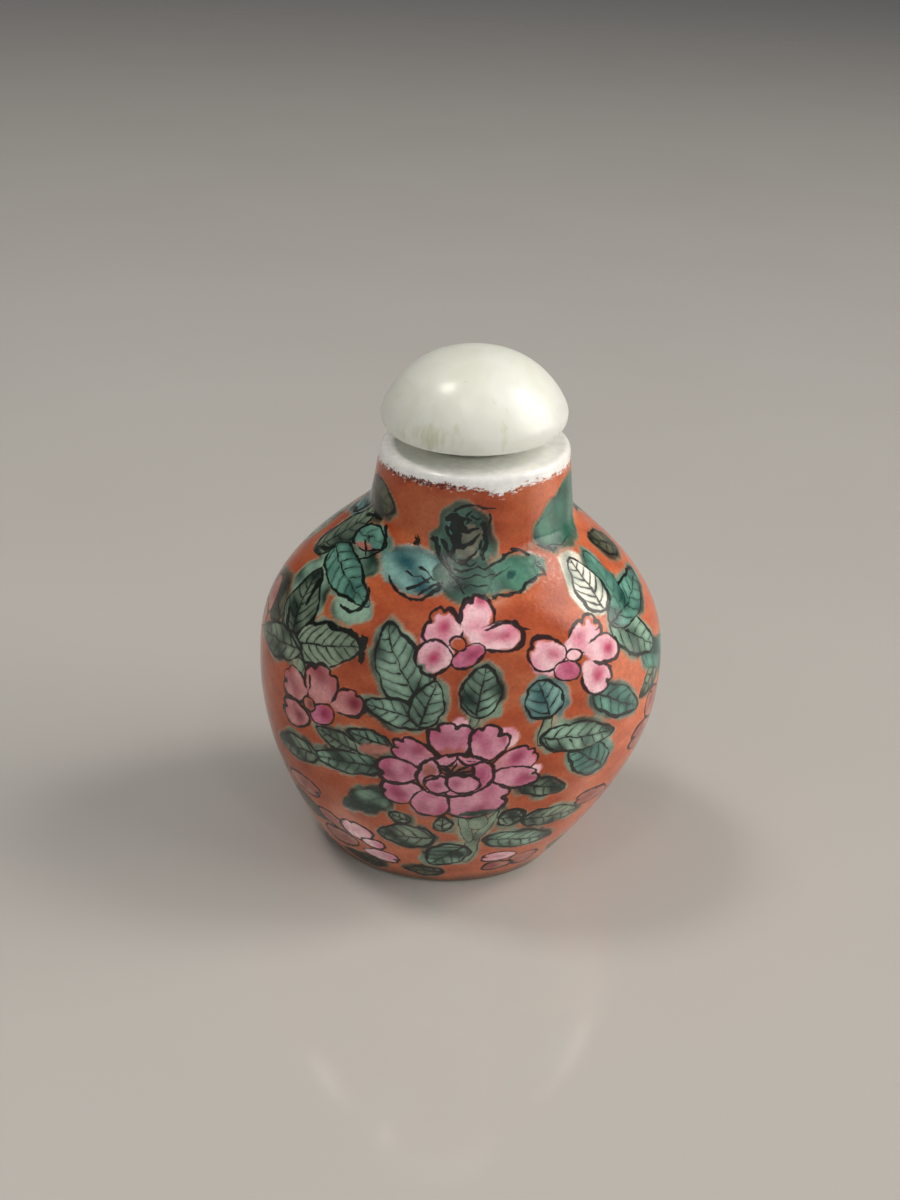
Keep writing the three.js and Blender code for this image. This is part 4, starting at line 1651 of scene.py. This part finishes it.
@dataclass
class PaintedBottle:
    """The porcelain bottle: a fine mesh of the pressed form, painted all round."""

    form: BottleForm = field(default_factory=BottleForm)
    finish: EnamelledPorcelain = field(default_factory=EnamelledPorcelain)
    front: FrontPainting = field(default_factory=FrontPainting)
    back: BackPainting = field(default_factory=BackPainting)
    edge: LipEdge = field(default_factory=LipEdge)

    def grid(self) -> tuple[Grid, int, int]:
        """Builds the closed skin.

        Returns:
            The grid, the number of rings below the outer wall, and the number of columns.
        """
        form = self.form
        angles = form.column_angles()
        heights = form.wall_heights()
        below, above = form.below_wall(), form.above_wall()
        wall = np.stack([form.outer_radius(heights), heights], axis=-1)
        section = np.concatenate([below, wall, above])
        radius, height = section[:, :1], section[:, 1:]
        angle = angles[None, :] + np.zeros_like(radius)
        rings = form.pressed(angle, radius + np.zeros_like(angle), height + np.zeros_like(angle))
        outer = slice(len(below), len(below) + len(wall))
        rings[outer] -= self.unevenness(rings[outer], heights)
        ends = form.pressed(np.zeros(2), np.zeros(2), np.array([form.recess_depth, form.floor_height]))
        belly = form.on_wall(np.append(angles, 270.0), np.full(len(angles) + 1, form.belly_height))
        run = np.concatenate([[0.0], np.cumsum(np.linalg.norm(np.diff(belly, axis=0), axis=1))])
        across = MAP_MARGIN + (1.0 - 2.0 * MAP_MARGIN) * run / run[-1]
        bands = ((0.24, 0.28, below), (0.3, 1.0 - MAP_MARGIN, wall), (MAP_MARGIN, 0.22, above))
        up = np.concatenate([np.linspace(low, high, len(part)) for low, high, part in bands])
        return ringed(rings, ends[0], ends[1], across, up), len(below), len(angles)

    def unevenness(self, rings: np.ndarray, heights: np.ndarray) -> np.ndarray:
        """How far the hand-pressed wall lies inside the true form.

        Args:
            rings: The wall's places.
            heights: Its rings' heights.

        Returns:
            The inward shift of each place, flat along the wall's height.
        """
        form = self.form
        wave = soft_noise(rings.reshape(-1, 3), 9.0, seed=5).reshape(rings.shape[:2])
        depth = form.hand_wave * np.clip(0.5 + 0.5 * wave, 0.0, 1.2)
        fade = smoothstep(heights, 0.5, 5.0) * smoothstep(heights, form.lip_height, 44.0)
        outward = rings * np.array([1.0, 1.0, 0.0])
        outward /= np.maximum(np.linalg.norm(outward, axis=-1, keepdims=True), 1e-6)
        return outward * (depth * fade[:, None])[..., None]

    def painted(self, angle: np.ndarray, height: np.ndarray) -> PaintedWall:
        """Paints the whole wall.

        Args:
            angle: The wall vertices' angles.
            height: Their heights as thrown.

        Returns:
            The painted wall.
        """
        wall = PaintedWall(self.form, angle, height)
        for leaf in self.back.leaves(self.form) + self.front.stems() + self.front.leaves():
            wall.paint(leaf)
        for petal in self.back.flowers(self.form) + self.front.blossoms() + self.front.peony():
            wall.paint(petal)
        for stroke in self.front.strokes():
            wall.draw(stroke)
        return wall

    def dress(self, made: bpy.types.Object, rings_below: int, columns: int) -> int:
        """Stores the painting on the vertices.

        Args:
            made: The bottle's object.
            rings_below: How many rings lie below the outer wall.
            columns: How many columns the mesh has.

        Returns:
            How many layers of pen lines there are.
        """
        form = self.form
        heights = form.wall_heights()
        angle = np.tile(form.column_angles(), len(heights))
        height = np.repeat(heights, columns)
        wall = self.painted(angle, height)
        count = len(made.data.vertices)
        start = rings_below * columns
        held = slice(start, start + len(angle))
        turn = wrapped(angle)
        above_edge = height - self.edge.at(turn)
        above, dry, rose, bare, relief, warmth = np.zeros((6, count))
        above[:] = self.edge.far_above
        above[held] = above_edge
        dry[held] = self.edge.dark_red(turn, above_edge)
        rose[held] = self.edge.magenta(turn, above_edge)
        first, last = form.bare_rings
        bare[first * columns : last * columns] = 1.0
        relief[held] = wall.relief
        warmth[held] = wall.warmth
        for name, values in (("above_coral", above), ("oxblood", dry), ("magenta", rose),
                             ("biscuit", bare), ("relief", relief), ("warmth", warmth)):
            store(made, name, "FLOAT", values)
        colour = np.ones((count, 4))
        colour[held, :3] = wall.colour
        store(made, "enamel", "FLOAT_COLOR", colour)
        for number, layer in enumerate(wall.layers):
            line = np.full((count, 3), (wall.CLEAR, 0.0, 0.0))
            line[held] = np.stack([layer.distance, layer.passed, layer.midrib], axis=-1)
            store(made, f"line_{number}", "FLOAT_VECTOR", line)
            pen = np.zeros((count, 3))
            pen[held, :2] = np.stack([layer.pen, layer.vein], axis=-1)
            store(made, f"pen_{number}", "FLOAT_VECTOR", pen)
        return len(wall.layers)

    def build(self) -> bpy.types.Object:
        """Makes the bottle, paints it and sets it in its place.

        Returns:
            The bottle's object.
        """
        grid, rings_below, columns = self.grid()
        made = grid.mesh("painted_bottle")
        layers = self.dress(made, rings_below, columns)
        made.data.materials.append(self.finish.material(layers))
        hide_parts(BOTTLE_NODE)
        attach(made, BODY)
        LOG.info("%s: %d faces, %d layers of pen lines", made.name, len(made.data.polygons), layers)
        return made


@dataclass
class JadeStopper:
    """The stopper: a low jade dome over a turned seat, resting on the slanted lip."""

    radius: float = 9.6
    dome_height: float = 6.13
    dome_curve: float = 1.31
    dome_round: float = 0.4
    edge_drop: float = 1.6
    underside_radius: float = 9.0
    seat_radius: float = 5.4
    seat_height: float = 1.6
    seat_clearance: float = 0.3
    offset: float = 0.1
    sides: int = 160
    seat_rings: int = 5
    dome_rings: int = 46
    rim_at: float = 3.6
    streaks_at: float = -38.0
    streaks_width: float = 26.0
    finish: PolishedJade = field(default_factory=PolishedJade)

    def section(self) -> np.ndarray:
        """Radius and height of the rings, from the seat to just under the top.

        Returns:
            One row for each ring.
        """
        edge = self.seat_height + self.edge_drop
        corner = (self.radius, self.seat_height + self.edge_drop / 4.0)
        under = BottleForm.rounded((self.underside_radius, self.seat_height), corner,
                                   (self.radius, edge), steps=10)
        rise = 1.0 - (1.0 - np.linspace(0.0, 1.0, self.dome_rings + 1)[1:-1]) ** 2
        dome = np.stack([self.radius * (1.0 - rise**self.dome_curve) ** self.dome_round,
                         edge + self.dome_height * rise], axis=-1)
        seat = np.array([(self.seat_radius * 0.6, 0.0), (self.seat_radius - 0.15, 0.0),
                         (self.seat_radius, 0.15), (self.seat_radius, self.seat_height - 0.1),
                         (self.seat_radius + 0.1, self.seat_height)])
        return np.concatenate([seat, under, dome])

    def build(self, form: BottleForm) -> bpy.types.Object:
        """Makes the stopper and sets it on the lip.

        Args:
            form: The bottle that it closes.

        Returns:
            The stopper's object.
        """
        section = self.section()
        turn = np.linspace(0.0, 2.0 * math.pi, self.sides, endpoint=False)
        radius, height = section[:, :1], section[:, 1:] + np.zeros((1, self.sides))
        rings = np.stack([radius * np.sin(turn), -radius * np.cos(turn), height], axis=-1)
        top = self.seat_height + self.edge_drop + self.dome_height
        ends = np.array([(0.0, 0.0, 0.0), (0.0, 0.0, top)])
        across = np.linspace(MAP_MARGIN, 1.0 - MAP_MARGIN, self.sides + 1)
        up = np.concatenate([np.linspace(MAP_MARGIN, 0.1, self.seat_rings),
                             np.linspace(0.12, 1.0 - MAP_MARGIN, len(section) - self.seat_rings)])
        grid = ringed(rings, ends[0], ends[1], across, up)
        slant = math.radians(form.lip_slant)
        tilt = np.array(Matrix.Rotation(-slant, 3, "Y"))
        seat = np.array([self.offset, 0.0, form.lip_height + self.seat_clearance])
        side = np.degrees(np.arctan2(grid.points[:, 0], -grid.points[:, 1]))
        rim = 1.0 - smoothstep(np.abs(grid.points[:, 2] - self.rim_at), 0.4, 3.2)
        rim *= 0.35 + 0.65 * bell(side, self.streaks_at, self.streaks_width)
        made = Grid(grid.points @ tilt.T + seat, grid.faces, grid.corners).mesh("jade_stopper")
        store(made, "rim", "FLOAT", rim)
        made.data.materials.append(self.finish.material())
        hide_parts(STOPPER_NODE)
        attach(made, BODY)
        LOG.info("%s: %d faces", made.name, len(made.data.polygons))
        return made


@dataclass(frozen=True)
class SoftBox:
    """A square studio light, aimed at the bottle's middle."""

    name: str
    azimuth: float
    elevation: float
    distance: float
    size: float
    power: float
    colour: str = "#FFF8F0"


@dataclass
class Studio:
    """Floor, lights, surroundings and the camera."""

    floor_width: float = 8.0
    aim: tuple[float, float, float] = (0.0, 0.0, 0.025)
    camera_pitch: float = 28.5
    camera_roll: float = 3.23
    camera_distance: float = 0.1465
    aim_pixel: Spot = (460.3, 645.2)
    frame_pixels: Spot = (900.0, 1200.0)
    focal_pixels: float = 1300.0
    sensor: float = 36.0
    wall_light: str = "#4E4E4E"
    front_light: str = "#C0C1C1"
    brightest: tuple[float, float, float] = (0.2, -0.95, 0.24)
    boxes: tuple[SoftBox, ...] = (
        SoftBox("key_right", 98.0, 50.0, 1.6, 0.34, 6.0),
        SoftBox("low_right", 88.0, 26.0, 1.6, 1.2, 18.0),
        SoftBox("left", -98.0, 64.0, 1.6, 0.3, 6.6),
        SoftBox("overhead", 0.0, 86.0, 1.6, 1.4, 2.6),
        SoftBox("front_left", -25.0, 63.0, 1.6, 0.1, 1.3),
        SoftBox("front_right", 30.0, 53.0, 1.6, 0.1, 0.8),
    )

    def floor(self) -> None:
        """Lays the pale floor."""
        half = self.floor_width / 2.0
        data = bpy.data.meshes.new("studio_floor")
        data.from_pydata([(-half, -half, 0), (half, -half, 0), (half, half, 0), (-half, half, 0)], [],
                         [(0, 1, 2, 3)])
        data.materials.append(LacqueredBoard().material())
        placed("studio_floor", data)

    def lights(self) -> None:
        """Sets the soft boxes round the bottle."""
        aim = Vector(self.aim)
        for box in self.boxes:
            azimuth, elevation = math.radians(box.azimuth), math.radians(box.elevation)
            toward = Vector((math.sin(azimuth) * math.cos(elevation),
                             -math.cos(azimuth) * math.cos(elevation), math.sin(elevation)))
            data = bpy.data.lights.new(box.name, "AREA")
            data.size = box.size
            data.energy = box.power
            data.color = linear(box.colour)
            made = placed(box.name, data)
            made.location = aim + toward * box.distance
            made.rotation_euler = toward.to_track_quat("Z", "Y").to_euler()

    def world(self) -> None:
        """Fills the room with pale light, bright from the front and dim elsewhere."""
        world = bpy.data.worlds.new("pale_room")
        world.use_nodes = True
        tree = world.node_tree
        tree.nodes.clear()
        toward = add(tree, "TexCoord", out="Generated")
        facing = add(tree, "VectorMath", {0: toward, 1: self.brightest}, out="Value",
                     operation="DOT_PRODUCT")
        share = add(tree, "MapRange", {0: facing, 1: -0.1, 2: 0.95, 3: 0.0, 4: 1.0},
                    interpolation_type="SMOOTHSTEP")
        colour = add(tree, "Mix", {"Factor": share, 6: self.wall_light, 7: self.front_light}, out=2,
                     data_type="RGBA")
        light = add(tree, "Background", {"Color": colour, "Strength": 1.0})
        add(tree, "OutputWorld", {"Surface": light})
        bpy.context.scene.world = world

    def camera(self) -> None:
        """Sets up the camera, which looks down on the bottle from close by, a little rolled."""
        pitch, roll = math.radians(self.camera_pitch), math.radians(self.camera_roll)
        forward = Vector((0.0, math.cos(pitch), -math.sin(pitch)))
        level = Vector((1.0, 0.0, 0.0))
        upright = Vector((0.0, math.sin(pitch), math.cos(pitch)))
        right = level * math.cos(roll) + upright * math.sin(roll)
        up = upright * math.cos(roll) - level * math.sin(roll)
        per_pixel = self.camera_distance / self.focal_pixels
        aside = (self.aim_pixel[0] - self.frame_pixels[0] / 2.0) * per_pixel
        lower = (self.aim_pixel[1] - self.frame_pixels[1] / 2.0) * per_pixel
        eye = Vector(self.aim) - forward * self.camera_distance - right * aside + up * lower
        data = bpy.data.cameras.new("camera")
        data.sensor_fit = "HORIZONTAL"
        data.sensor_width = self.sensor
        data.lens = self.focal_pixels / self.frame_pixels[0] * self.sensor
        data.clip_start = 0.01
        data.clip_end = 20.0
        made = placed("camera", data)
        turn = Matrix((right, up, -forward)).transposed().to_4x4()
        made.matrix_world = Matrix.Translation(eye) @ turn
        bpy.context.scene.camera = made

    def build(self) -> None:
        """Sets the whole studio."""
        self.camera()
        self.floor()
        self.lights()
        self.world()
        bpy.context.scene.view_settings.view_transform = "Standard"
        LOG.info("studio: %d soft boxes", len(self.boxes))


def main() -> None:
    """Builds the studio, the bottle and its stopper."""
    logging.basicConfig(level=logging.INFO, format="%(name)s: %(message)s")
    Studio().build()
    bottle = PaintedBottle()
    bottle.build()
    JadeStopper().build(bottle.form)


if __name__ == "__main__":
    main()
